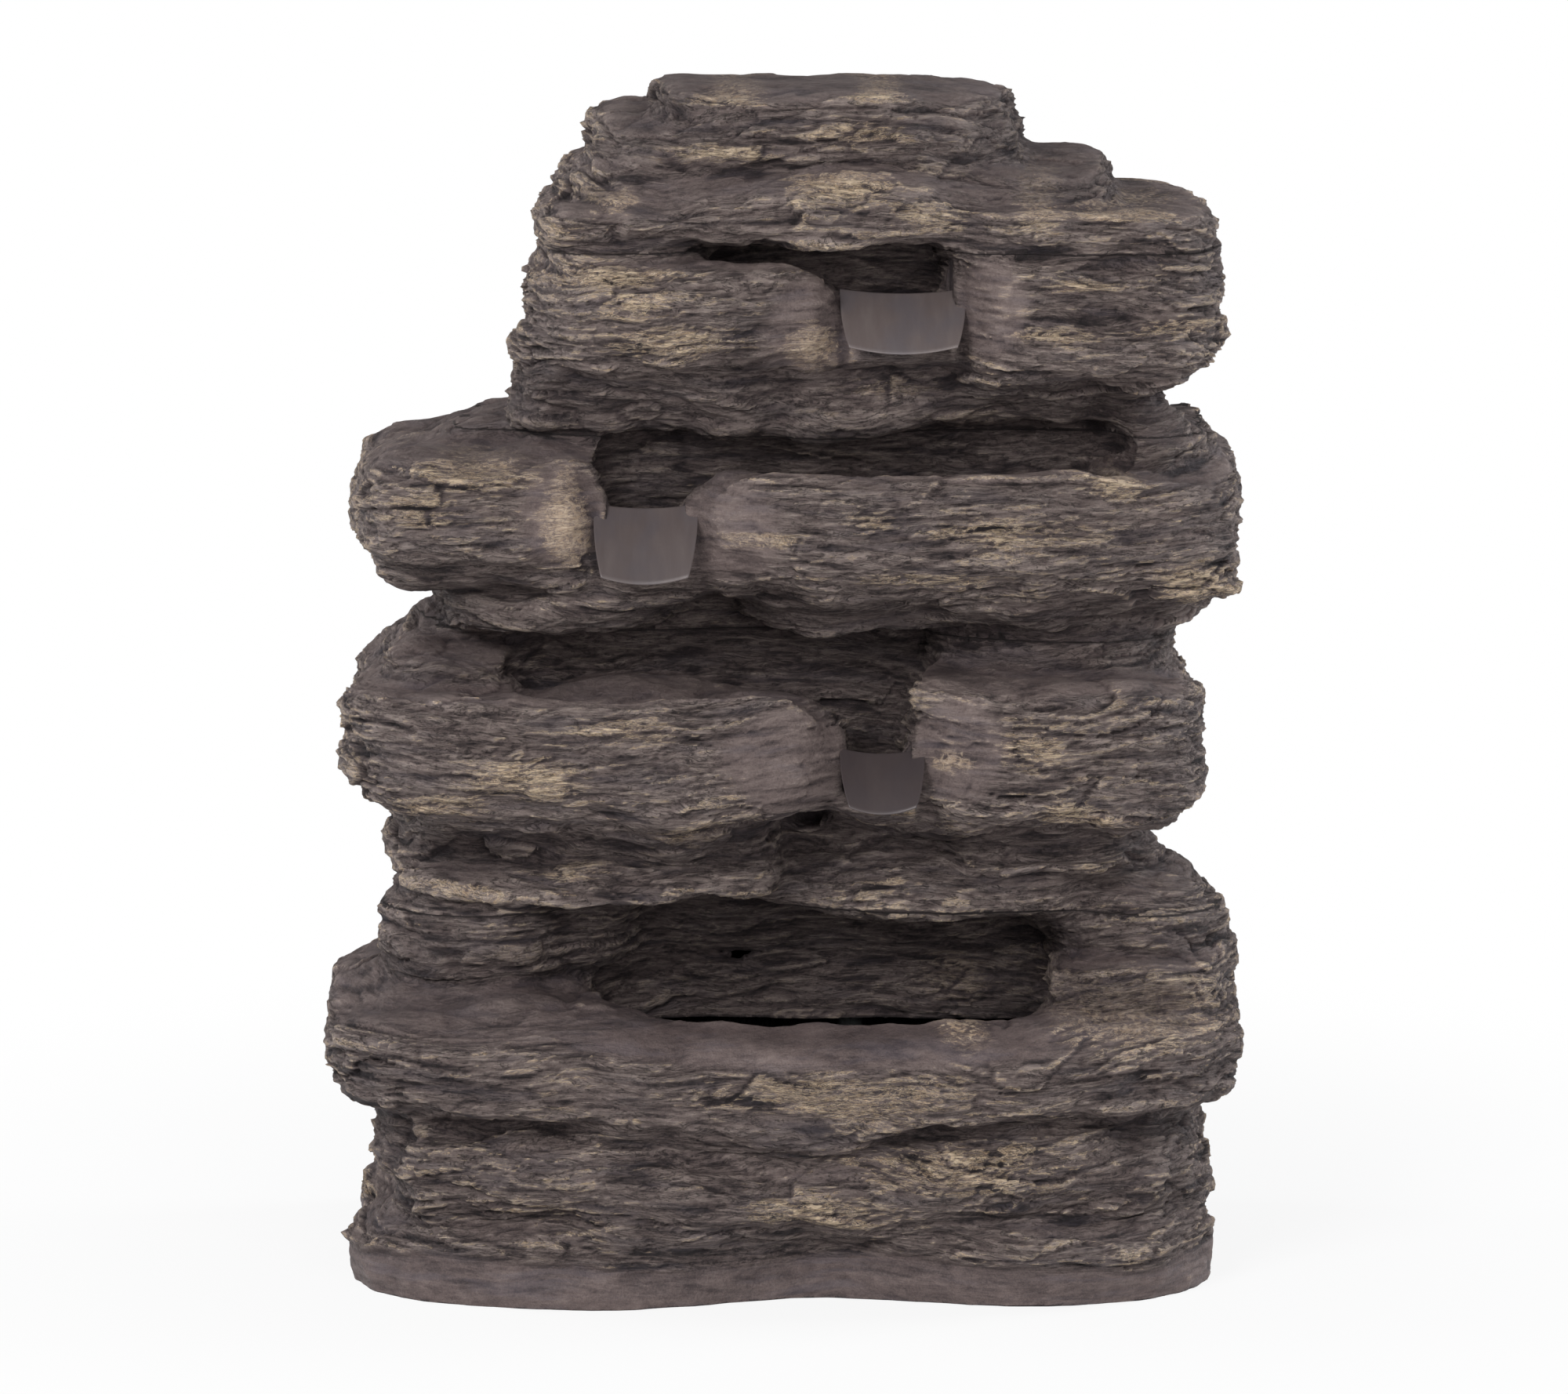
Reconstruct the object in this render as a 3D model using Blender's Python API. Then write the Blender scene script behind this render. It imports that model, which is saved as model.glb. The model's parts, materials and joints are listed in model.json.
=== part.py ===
"""Three-tier cascading rock fountain: stacked castings, spill chutes, a pump, its hose and a rear door.

Metres, +Z up. The front faces -Y and the fountain stands on Z = 0, with the origin midway across it.
Each casting is a union of lofted rocks, cut flat at its seats, hollowed, and cut again for its pool.
"""

import math
from typing import NamedTuple

import bmesh
import bpy
from mathutils import Matrix, Vector, noise

# Castings, from the ground up
BASE_HEIGHT = 0.262
LOWER_HEIGHT = 0.190
MIDDLE_HEIGHT = 0.142
UPPER_HEIGHT = 0.133
CAP_HEIGHT = 0.108
BACK_Y = 0.140
SEAM_GAP = 0.0003
PIECE_GAP = 0.0003
FLOOR_WALL = 0.015
DECK_WALL = 0.014
REAR_WALL = 0.018
POOL_WALL = 0.022
CORE_FRONT = -0.030

# How far cutters run past the faces that they open, and how far joined solids sink into each other
CUT_PAST = 0.010
CUT_THROUGH = 0.050
OVERLAP = 0.020

# Hollow behind each pool: its left and right sides, and the hole in each deck that the hose climbs through
BASE_HOLLOW = (-0.235, 0.235)
LOWER_HOLLOW = (-0.238, 0.232)
MIDDLE_HOLLOW = (-0.214, 0.250)
UPPER_HOLLOW = (-0.142, 0.222)
CAP_HOLLOW = (-0.112, 0.140)
CAP_HOLLOW_TOP = 0.066
HOLLOW_CORNER = 0.020
DECK_HOLE = (-0.060, 0.120)
DECK_HOLE_INSET = 0.012
COLLAR_WALL = 0.009
COLLAR_HEIGHT = 0.008
COLLAR_CLEARANCE = 0.0008

# Reservoir in the base, and the pool mouth in its rim
RIM_HEIGHT = 0.201
RIM_THICKNESS = 0.032
RESERVOIR_SIDE = 0.262
RESERVOIR_FRONT = -0.176
MOUTH_LEFT = -0.134
MOUTH_RIGHT = 0.194
MOUTH_FRONT = -0.190
MOUTH_BACK = -0.024
MOUTH_CORNER = 3.0
MOUTH_ROUND = 0.004
FLOOR_ROUND = 0.014

# Spill chutes
CHUTE_WALL = 0.003
CHUTE_CHEEK = 0.013
CHUTE_SET = 0.0004
CHEEK_THINNING = 0.9

# Rear access door, its magnets and their keepers
DOOR_WIDTH = 0.200
DOOR_HEIGHT = 0.140
DOOR_THICKNESS = 0.011
DOOR_LAP = 0.016
DOOR_CLEARANCE = 0.0015
DOOR_SILL = 0.018
DOOR_CORNER = 0.014
DOOR_X = 0.000
DOOR_TONGUE = 0.005
GRIP_WIDTH = 0.060
GRIP_HEIGHT = 0.016
GRIP_DEPTH = 0.006
GRIP_DROP = 0.020
GRIP_CORNER = 0.0064
MAGNET_RADIUS = 0.004
MAGNET_LENGTH = 0.003
KEEPER_LENGTH = 0.002

# Drain plug and cord grommet in the base's rear wall
DRAIN_X = -0.150
DRAIN_Z = 0.036
DRAIN_RADIUS = 0.009
DRAIN_TAPER = 0.0008
DRAIN_FLANGE = 0.014
FLANGE_THICKNESS = 0.003
RECESS_SIDE = 0.0015
GROMMET_X = 0.170
GROMMET_Z = 0.214
GROMMET_RADIUS = 0.011
GROMMET_FLANGE = 0.015
GROMMET_BORE = 0.0045

# Pump, whose shaft runs along X
PUMP_X = 0.040
PUMP_Y = 0.057
MOTOR_LENGTH = 0.050
MOTOR_WIDTH = 0.052
MOTOR_HEIGHT = 0.056
MOTOR_EDGE = 0.006
VOLUTE_RADIUS = 0.024
VOLUTE_FACE = 0.0035
CHAMBER_CLEARANCE = 0.002
NOZZLE_BORE_START = 0.013
INTAKE_RING = 0.0105
INTAKE_RADIUS = 0.0035
INTAKE_COUNT = 5
GRILLE_LENGTH = 0.020
GRILLE_WALL = 0.0022
GRILLE_SLOTS = 6
GRILLE_SLOT_WIDTH = 0.0028
GRILLE_SLOT_START = 0.005
GRILLE_SLOT_END = 0.006
GRILLE_CHAMFER = 0.004
GRILLE_INNER_CHAMFER = 0.003
ROTOR_RADIUS = 0.009
ROTOR_LENGTH = 0.028
ROTOR_CLEARANCE = 0.001
IMPELLER_RADIUS = 0.016
IMPELLER_LENGTH = 0.009
IMPELLER_PLATE = 0.0015
IMPELLER_HUB = 0.0045
IMPELLER_BLADES = 6
BLADE_THICKNESS = 0.0018
BLADE_ROOT = 0.0008
BLADE_TIP = 0.0004
BLADE_EDGE = 0.0005
SPINDLE_RADIUS = 0.0015
SPINDLE_RUNNING = 0.0003
BUSH_RADIUS = 0.0040
BUSH_LENGTH = 0.0050
BUSH_DEPTH = 0.0035
DIAL_RADIUS = 0.011
DIAL_THICKNESS = 0.003
DIAL_PIN = 0.0028
DIAL_PIN_END = 0.001
DIAL_BAR = 0.85
DIAL_GRIP = 0.004
DIAL_GRIP_WIDTH = 0.003
CUP_RADIUS = 0.0085
CUP_HEIGHT = 0.007
CUP_STEM = 0.003
CUP_STEM_LENGTH = 0.004
CUP_INSET = 0.010
CUP_HOLLOW = 0.45
GLAND_RADIUS = 0.0055
GLAND_TIP = 0.0042
GLAND_LENGTH = 0.014
GLAND_BORE = 0.0030
GLAND_SEAT = 0.003

# Hose, its clamps and the outlet fitting in the top pool
HOSE_OUTER = 0.0092
HOSE_BORE = 0.0066
HOSE_STATIONS = 6
HOSE_STRAIGHT = 0.030
BARB_RADIUS = 0.0063
BARB_LENGTH = 0.020
BARB_BORE = 0.0042
NOZZLE_RADIUS = 0.0085
NOZZLE_HEIGHT = 0.005
CLAMP_WALL = 0.0012
CLAMP_WIDTH = 0.008
CLAMP_SCREW = 0.006
CLAMP_BLOCK = 0.8
CLAMP_PLACE = 0.45
OUTLET_X = 0.020
OUTLET_Y = 0.018
OUTLET_DROP = 0.035
OUTLET_RADIUS = 0.0070
OUTLET_REACH = 0.014
OUTLET_LEG = 0.012
OUTLET_FLANGE = 0.0125
OUTLET_FLANGE_THICKNESS = 0.003
OUTLET_ELBOW_END = 0.006
OUTLET_ELBOW_TOP = 0.005
OUTLET_LEG_RADIUS = 0.00735
OUTLET_BARB_ROOT = 0.009
OUTLET_BORE_END = 0.7
OUTLET_LEG_BORE = 0.0017
GASKET_THICKNESS = 0.0025
NUT_THICKNESS = 0.006
NUT_RADIUS = 0.013
NUT_SIDES = 6
NUT_STAND = 0.0012

# Facets
ROCK_SEGMENTS = 22
ROUND_SEGMENTS = 16
SMALL_SEGMENTS = 12
INTAKE_SEGMENTS = 8

# Rough rocks cross at shallow angles, where the exact solver leaves gaps
ROCK_SOLVER = "MANIFOLD"

LOWER_SEAT = BASE_HEIGHT
MIDDLE_SEAT = LOWER_SEAT + LOWER_HEIGHT
UPPER_SEAT = MIDDLE_SEAT + MIDDLE_HEIGHT
CAP_SEAT = UPPER_SEAT + UPPER_HEIGHT
HOLLOW_FRONT = CORE_FRONT + POOL_WALL
HOLLOW_BACK = BACK_Y - REAR_WALL

# The grain of each casting's strata starts a step on from that of the casting below
CASTINGS = ("base_reservoir", "lower_tier_rock", "middle_tier_rock", "upper_tier_rock", "cap_rock")
GRAIN_STEP = 0.190


class Rock(NamedTuple):
    """One rounded slab of a casting. Its heights are above the casting's seat."""

    left: float
    right: float
    front: float
    bottom: float
    top: float
    crown: float = 0.012
    foot: float = 0.010
    back: float = BACK_Y + 0.012
    layers: int = 2
    rough: float = 0.005
    dip: float = 0.0
    lean: float = 0.0
    waist: float = 0.0
    corner: float = 3.0


class Chute(NamedTuple):
    """A spill chute: its left and right sides, and the edges that the water crosses and leaves."""

    left: float
    right: float
    back: float
    front: float
    back_height: float
    front_height: float


# Rocks of each casting
CAP_ROCKS = (
    Rock(-0.162, 0.228, CORE_FRONT, -0.020, 0.034, layers=1, corner=5.0),
    Rock(-0.168, -0.052, -0.114, -0.020, 0.032, crown=0.010, layers=1, corner=4.0),
    Rock(-0.160, 0.200, -0.118, 0.005, 0.038, crown=0.010, foot=0.008, lean=0.35, layers=1),
    Rock(0.122, 0.300, -0.124, -0.020, 0.032, crown=0.008, dip=-0.02, corner=4.0, layers=1),
    Rock(-0.158, 0.232, -0.100, 0.018, 0.057, crown=0.012, foot=0.006, layers=1, lean=0.35),
    Rock(-0.136, 0.167, -0.080, 0.040, 0.087, crown=0.012, foot=0.006, layers=1, lean=0.30),
    Rock(-0.092, 0.162, -0.062, 0.066, 0.108, crown=0.012, foot=0.014, layers=1, dip=-0.03),
)
UPPER_ROCKS = (
    Rock(-0.170, 0.252, CORE_FRONT, -0.020, UPPER_HEIGHT + 0.020, layers=2, corner=5.0),
    Rock(-0.183, 0.062, -0.126, 0.048, 0.121, crown=0.018, foot=0.020, layers=2, corner=4.0),
    Rock(-0.191, 0.020, -0.104, 0.000, 0.066, crown=0.010, foot=0.022, layers=1),
    Rock(-0.166, -0.060, -0.108, 0.098, UPPER_HEIGHT + 0.020, layers=1),
    Rock(0.106, 0.306, -0.126, 0.034, UPPER_HEIGHT + 0.020, foot=0.026, layers=3, corner=4.2),
    Rock(-0.040, 0.260, -0.094, 0.006, 0.054, crown=0.016, foot=0.016, layers=1),
    Rock(-0.010, 0.160, -0.094, 0.034, 0.112, crown=0.006, foot=0.010, layers=1),
)
MIDDLE_ROCKS = (
    Rock(-0.245, 0.282, CORE_FRONT, -0.020, MIDDLE_HEIGHT + 0.020, layers=2, corner=5.0),
    Rock(-0.303, -0.110, -0.141, 0.036, 0.136, crown=0.032, foot=0.036, layers=1, corner=4.0),
    Rock(-0.240, -0.070, -0.104, 0.002, 0.056, foot=0.016, layers=1),
    Rock(-0.088, 0.326, -0.150, 0.030, 0.126, crown=0.020, foot=0.034, layers=2, corner=4.0, dip=-0.02),
    Rock(-0.036, 0.306, -0.132, 0.004, 0.054, foot=0.018, layers=1),
    Rock(0.182, 0.304, -0.088, 0.080, MIDDLE_HEIGHT + 0.020, crown=0.012, layers=1),
    Rock(-0.160, -0.040, -0.114, 0.026, 0.090, crown=0.006, layers=1),
)
LOWER_ROCKS = (
    Rock(-0.268, 0.262, CORE_FRONT, -0.020, LOWER_HEIGHT + 0.020, layers=3, corner=5.0),
    Rock(-0.311, 0.064, -0.177, 0.068, 0.164, crown=0.016, foot=0.034, layers=2, dip=0.02, corner=4.0),
    Rock(-0.284, 0.020, -0.152, 0.010, 0.088, foot=0.024, layers=2, dip=0.03),
    Rock(-0.292, -0.180, -0.108, 0.126, 0.184, crown=0.026, layers=1),
    Rock(0.072, 0.294, -0.170, 0.060, 0.170, crown=0.020, foot=0.030, layers=2, corner=4.0, dip=-0.04),
    Rock(0.104, 0.262, -0.140, 0.030, 0.084, foot=0.016, layers=1),
    Rock(-0.040, 0.262, -0.108, -0.010, 0.056, layers=1),
    Rock(0.096, 0.280, -0.106, 0.150, LOWER_HEIGHT + 0.020, layers=1),
    Rock(0.020, 0.130, -0.150, 0.060, 0.120, crown=0.006, layers=1),
)
BASE_ROCKS = (
    Rock(-0.307, 0.304, -0.222, -0.010, 0.054, crown=0.020, foot=0.012, layers=1, waist=0.024),
    Rock(-0.286, 0.300, -0.216, 0.034, 0.098, crown=0.010, foot=0.010, layers=1, waist=0.016),
    Rock(-0.298, 0.294, -0.218, 0.078, 0.144, crown=0.010, foot=0.010, layers=1, waist=0.010),
    Rock(-0.328, 0.325, -0.221, 0.122, RIM_HEIGHT, crown=0.018, foot=0.024, layers=2, corner=3.6),
    Rock(-0.306, -0.130, -0.125, 0.160, 0.210, crown=0.018, layers=1),
    Rock(0.150, 0.325, -0.150, 0.164, 0.230, crown=0.018, layers=2, dip=0.10),
    Rock(-0.272, 0.264, CORE_FRONT + 0.008, 0.150, BASE_HEIGHT + 0.020, layers=2, corner=5.0),
)

UPPER_CHUTE = Chute(0.045, 0.121, -0.068, -0.113, 0.100, 0.062)
MIDDLE_CHUTE = Chute(-0.127, -0.066, -0.100, -0.143, 0.096, 0.047)
LOWER_CHUTE = Chute(0.045, 0.092, -0.134, -0.178, 0.116, 0.081)

# Pools: left, right, front and floor, the floor above the casting's seat
UPPER_POOL_DEPTH = 0.063
UPPER_POOL = (-0.060, 0.146, -0.094, UPPER_HEIGHT - UPPER_POOL_DEPTH)
MIDDLE_POOL = (-0.130, 0.246, -0.125, 0.066)
LOWER_POOL = (-0.190, 0.092, -0.158, 0.086)
POOL_CORNER = 3.4
POOL_TOP = 0.300
POOL_SPLIT = 0.25

# Rock shapes: where the base's waist lies, the strata's grooves and the grain that roughens them
WAIST_X = 0.038
WAIST_SPREAD = 0.115
ROCK_SPLIT = 0.4
BACK_CORNER = 6.0
STRATUM_GROOVE = 0.005
GROOVE_CHANGE = 1.1
GROOVE_PLAN = 2.5
GROOVE_HEIGHT = 60
BACK_STAGGER = 0.002
GRAIN_PLAN = 14.0
GRAIN_HEIGHT = 42.0


def clear_scene():
    for obj in list(bpy.data.objects):
        bpy.data.objects.remove(obj, do_unlink=True)


def material(name, colour, roughness, metallic=0.0):
    made = bpy.data.materials.new(name)
    made.use_nodes = True
    shader = made.node_tree.nodes["Principled BSDF"]
    shader.inputs["Base Color"].default_value = (*colour, 1.0)
    shader.inputs["Roughness"].default_value = roughness
    shader.inputs["Metallic"].default_value = metallic
    return made


def object_from(bm, name, finish=None):
    """Puts a bmesh in the scene as an object, with its faces pointing out."""
    bmesh.ops.recalc_face_normals(bm, faces=bm.faces)
    mesh = bpy.data.meshes.new(name)
    bm.to_mesh(mesh)
    bm.free()
    obj = bpy.data.objects.new(name, mesh)
    bpy.context.scene.collection.objects.link(obj)
    if finish:
        mesh.materials.append(finish)
    return obj


def combine(target, other, operation, solver="EXACT"):
    """Applies a Boolean of another object to the target, and removes the other object."""
    step = target.modifiers.new("combine", "BOOLEAN")
    step.solver = solver
    step.operation = operation
    step.object = other
    graph = bpy.context.evaluated_depsgraph_get()
    result = bpy.data.meshes.new_from_object(target.evaluated_get(graph))
    target.modifiers.clear()
    old = target.data
    target.data = result
    result.name = target.name
    bpy.data.meshes.remove(old)
    bpy.data.objects.remove(other, do_unlink=True)
    return target


def cut(target, *cutters, solver="EXACT"):
    for cutter in cutters:
        combine(target, cutter, "DIFFERENCE", solver)
    return target


def join(target, *others, solver="EXACT"):
    for other in others:
        combine(target, other, "UNION", solver)
    return target


def smooth(obj, degrees=40):
    obj.data.shade_smooth()
    obj.data.set_sharp_from_angle(angle=math.radians(degrees))
    return obj


def drum(rings, segments):
    """A closed unit drum whose rings stand one unit apart."""
    bm = bmesh.new()
    bmesh.ops.create_circle(bm, cap_ends=True, radius=1.0, segments=segments)
    ring = list(bm.edges)
    for level in range(1, rings):
        grown = bmesh.ops.extrude_edge_only(bm, edges=ring)["geom"]
        corners = [part for part in grown if isinstance(part, bmesh.types.BMVert)]
        bmesh.ops.translate(bm, verts=corners, vec=(0.0, 0.0, 1.0))
        ring = [edge for edge in bm.edges if all(vert.co.z > level - 0.5 for vert in edge.verts)]
    bmesh.ops.contextual_create(bm, geom=ring)
    return bm


def signed_power(value, exponent):
    return math.copysign(abs(value) ** exponent, value)


def rock_levels(shape):
    """Heights and insets of a rock's rings: a rounded foot, its strata, and a rounded crown."""
    levels = []
    for degrees in (0, 45, 90):
        angle = math.radians(degrees)
        inset = shape.foot * (1 - math.sin(angle))
        levels.append((shape.bottom + shape.foot * (1 - math.cos(angle)), inset))
    low = shape.bottom + shape.foot
    high = shape.top - shape.crown
    for layer in range(1, shape.layers * 2):
        inset = STRATUM_GROOVE if layer % 2 == 0 else 0.0
        levels.append((low + (high - low) * layer / (shape.layers * 2), inset))
    for degrees in (90, 45, 15):
        angle = math.radians(degrees)
        levels.append((high + shape.crown * math.cos(angle), shape.crown * (1 - math.sin(angle))))
    return levels


def loft_rock(name, shape, seat, grain, segments=ROCK_SEGMENTS):
    """A slab of rock as a loft through rings of a squared oval, roughened along its strata."""
    levels = rock_levels(shape)
    bm = drum(len(levels), segments)
    centre_x = (shape.left + shape.right) / 2
    half_width = (shape.right - shape.left) / 2
    split = shape.front + ROCK_SPLIT * (shape.back - shape.front)
    for vert in bm.verts:
        height, inset = levels[round(vert.co.z)]
        angle = math.atan2(vert.co.y, vert.co.x)
        across, along = math.cos(angle), math.sin(angle)
        groove = Vector((across * GROOVE_PLAN, along * GROOVE_PLAN, (height + grain) * GROOVE_HEIGHT))
        inset *= 1 + GROOVE_CHANGE * noise.noise(groove)
        at_front = along < 0
        power = 2 / (shape.corner if at_front else BACK_CORNER)
        reach = (split - shape.front if at_front else shape.back - split) - inset
        x = centre_x + (half_width - inset) * signed_power(across, power)
        y = split + reach * signed_power(along, power)
        spot = Vector((x * GRAIN_PLAN, y * GRAIN_PLAN, (height + grain) * GRAIN_HEIGHT))
        swell = shape.rough * noise.noise(spot)
        outward = Vector((x - centre_x, y - split)).normalized()
        x += swell * outward.x
        y += swell * outward.y
        share = (height - shape.bottom) / (shape.top - shape.bottom)
        if at_front:
            y += abs(along) * shape.lean * (height - shape.bottom)
            y += shape.waist * math.exp(-(((x - WAIST_X) / WAIST_SPREAD) ** 2))
        vert.co = (x, y, seat + height + shape.dip * (x - centre_x) * share)
    return object_from(bm, name)


def block(name, left, right, front, back, bottom, top):
    bm = bmesh.new()
    size = Vector((right - left, back - front, top - bottom))
    centre = Vector((left + right, front + back, bottom + top)) / 2
    matrix = Matrix.Translation(centre) @ Matrix.Diagonal((*size, 1.0))
    bmesh.ops.create_cube(bm, size=1.0, matrix=matrix)
    return object_from(bm, name)


def rounded_block(name, left, right, front, back, bottom, top, corner, along=2, steps=2):
    """A box whose four edges along one axis are rounded."""
    obj = block(name, left, right, front, back, bottom, top)
    bm = bmesh.new()
    bm.from_mesh(obj.data)
    kept = []
    for edge in bm.edges:
        line = (edge.verts[0].co - edge.verts[1].co).normalized()
        if abs(line[along]) > 0.99:
            kept.append(edge)
    bmesh.ops.bevel(bm, geom=kept, offset=corner, segments=steps, profile=0.5, affect="EDGES", material=-1)
    bm.to_mesh(obj.data)
    bm.free()
    return obj


def bowl(name, left, right, front, back, floor, rim, round_floor=FLOOR_ROUND, corner=POOL_CORNER):
    """A pool's cutter: an oval front, a squarer back and a rounded floor, open at the rim."""
    levels = []
    for degrees in (0, 40, 90):
        angle = math.radians(degrees)
        inset = round_floor * (1 - math.sin(angle))
        levels.append((floor + round_floor * (1 - math.cos(angle)), inset))
    levels.append((rim, 0.0))
    bm = drum(len(levels), ROCK_SEGMENTS)
    centre_x, half_width = (left + right) / 2, (right - left) / 2
    split = back - POOL_SPLIT * (back - front)
    for vert in bm.verts:
        height, inset = levels[round(vert.co.z)]
        angle = math.atan2(vert.co.y, vert.co.x)
        across, along = math.cos(angle), math.sin(angle)
        power = 2 / (corner if along < 0 else BACK_CORNER)
        reach = (split - front if along < 0 else back - split) - inset
        x = centre_x + (half_width - inset) * signed_power(across, power)
        vert.co = (x, split + reach * signed_power(along, power), height)
    return object_from(bm, name)


def pool(name, shape, seat):
    """A tier pool's cutter, from its shape and its casting's seat."""
    left, right, front, floor = shape
    return bowl(name, left, right, front, CORE_FRONT, seat + floor, seat + POOL_TOP)


def cylinder(name, radius, start, end, segments=ROUND_SEGMENTS, end_radius=None, finish=None):
    """A cylinder or cone from the point start to the point end."""
    start, end = Vector(start), Vector(end)
    line = end - start
    bm = bmesh.new()
    turn = line.to_track_quat("Z", "Y").to_matrix().to_4x4()
    matrix = Matrix.Translation((start + end) / 2) @ turn
    bmesh.ops.create_cone(
        bm,
        cap_ends=True,
        segments=segments,
        radius1=radius,
        radius2=radius if end_radius is None else end_radius,
        depth=line.length,
        matrix=matrix,
    )
    return object_from(bm, name, finish)


def turned(name, profile, origin, axis, finish=None, segments=ROUND_SEGMENTS):
    """A solid of revolution: profile is a closed loop of (radius, distance along the axis)."""
    bm = bmesh.new()
    points = [bm.verts.new((radius, 0.0, along)) for radius, along in profile]
    count = len(points)
    on_axis = profile[0][0] == 0 and profile[-1][0] == 0
    edges = [bm.edges.new((points[i], points[(i + 1) % count])) for i in range(count - on_axis)]
    bmesh.ops.spin(
        bm,
        geom=points + edges,
        cent=(0.0, 0.0, 0.0),
        axis=(0.0, 0.0, 1.0),
        angle=math.tau,
        steps=segments,
        use_merge=True,
        use_duplicate=False,
    )
    bmesh.ops.remove_doubles(bm, verts=bm.verts, dist=1e-6)
    turn = Vector(axis).to_track_quat("Z", "Y").to_matrix().to_4x4()
    bmesh.ops.transform(bm, matrix=Matrix.Translation(Vector(origin)) @ turn, verts=bm.verts)
    return object_from(bm, name, finish)


def chute_slope(chute, seat):
    """The sloping frame of a chute: its upper end, its direction down the slope and its normal."""
    top = Vector((0.0, chute.back, seat + chute.back_height))
    low = Vector((0.0, chute.front, seat + chute.front_height))
    down = (low - top).normalized()
    normal = Vector((1.0, 0.0, 0.0)).cross(down).normalized()
    return top, low, down, normal if normal.z > 0 else -normal


def chute_profile(chute, grow):
    """The channel's cross-section as (across, up) points: a floor that curls up into two cheeks."""
    half = (chute.right - chute.left) / 2 + grow
    floor_half = half - CHUTE_CHEEK
    points = []
    for side in (-1, 1):
        arc = []
        for degrees in (0, 30, 60, 90):
            angle = math.radians(degrees)
            across = side * (floor_half + CHUTE_CHEEK * math.sin(angle))
            arc.append((across, CHUTE_CHEEK * (1 - math.cos(angle))))
        points += arc[::-1] if side < 0 else arc
    return points


def loft_along(name, loops, finish=None):
    """A closed solid through loops of equal length, capped at both ends."""
    bm = bmesh.new()
    rows = [[bm.verts.new(point) for point in loop] for loop in loops]
    for row in (rows[0], rows[-1]):
        bm.faces.new(row)
    edges = []
    for row in rows:
        pairs = [(row[i - 1], row[i]) for i in range(len(row))]
        edges.append([bm.edges.get(pair) or bm.edges.new(pair) for pair in pairs])
    for low, high in zip(edges, edges[1:]):
        bmesh.ops.bridge_loops(bm, edges=low + high)
    return object_from(bm, name, finish)


def spill_chute(name, chute, seat, finish):
    """The smooth insert: a thin channel that hooks over the pool's wall and overhangs its front."""
    top, low, down, normal = chute_slope(chute, seat)
    middle = (chute.left + chute.right) / 2
    profile = chute_profile(chute, 0.0)
    half = (chute.right - chute.left) / 2
    narrowing = (half - CHUTE_WALL) / half
    inner = [(across * narrowing, up * CHEEK_THINNING + CHUTE_WALL) for across, up in profile]
    section = profile + inner[::-1]
    loops = []
    for start in (top, low):
        loops.append([start + Vector((middle + across, 0.0, 0.0)) + normal * up for across, up in section])
    return loft_along(name, loops, finish)


def chute_notch(name, chute, seat, ceiling):
    """The cutter that clears a chute's bed and everything above it, from the pool to the front."""
    top, low, down, normal = chute_slope(chute, seat)
    middle = (chute.left + chute.right) / 2
    profile = chute_profile(chute, CHUTE_SET)
    before = top - down * CUT_THROUGH
    after = low + down * (CUT_THROUGH + CUT_PAST)
    loops = []
    for start in (before, after):
        start = start + Vector((middle, 0.0, 0.0)) - normal * CHUTE_SET
        bed = [start + Vector((across, 0.0, 0.0)) + normal * up for across, up in profile]
        left, right = bed[0], bed[-1]
        bed.append(Vector((right.x, right.y, seat + ceiling)))
        bed.append(Vector((left.x, left.y, seat + ceiling)))
        loops.append(bed)
    return loft_along(name, loops)


def hollow(name, sides, seat, bottom, top, inset=0.0):
    """A rounded box behind the pools, between two heights above a seat."""
    return rounded_block(
        name,
        sides[0] + inset,
        sides[1] - inset,
        HOLLOW_FRONT + inset,
        HOLLOW_BACK - inset,
        seat + bottom,
        seat + top,
        HOLLOW_CORNER - min(inset, HOLLOW_CORNER / 2),
    )


def casting(name, rocks, seat, height, cutters, finish, collar=None):
    """A casting: its rocks joined, cut flat at its seats and back, given a collar, then hollowed."""
    grain = GRAIN_STEP * CASTINGS.index(name)
    body = loft_rock(name, rocks[0], seat, grain)
    for index, rock in enumerate(rocks[1:], start=1):
        staggered = rock._replace(back=rock.back + index * BACK_STAGGER)
        join(body, loft_rock(name + "_rock", staggered, seat, grain), solver=ROCK_SOLVER)
    top = seat + height - (SEAM_GAP if collar else -CUT_THROUGH)
    combine(body, block("seats", -1.0, 1.0, -1.0, BACK_Y, seat, top), "INTERSECT", ROCK_SOLVER)
    if collar:
        low = height - DECK_WALL / 2
        ring = hollow("collar", collar, seat, low, height + COLLAR_HEIGHT, COLLAR_CLEARANCE)
        inset = COLLAR_CLEARANCE + COLLAR_WALL
        inner = hollow("inner", collar, seat, low - CUT_PAST, height + CUT_THROUGH, inset)
        join(body, cut(ring, inner), solver=ROCK_SOLVER)
        low, high = height - CUT_THROUGH, height + CUT_THROUGH
        cutters.append(hollow("deck_hole", DECK_HOLE, seat, low, high, DECK_HOLE_INSET))
    cut(body, *cutters, solver=ROCK_SOLVER)
    body.data.materials.clear()
    body.data.materials.append(finish)
    for face in body.data.polygons:
        face.material_index = 0
    return smooth(body, 35)


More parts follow.
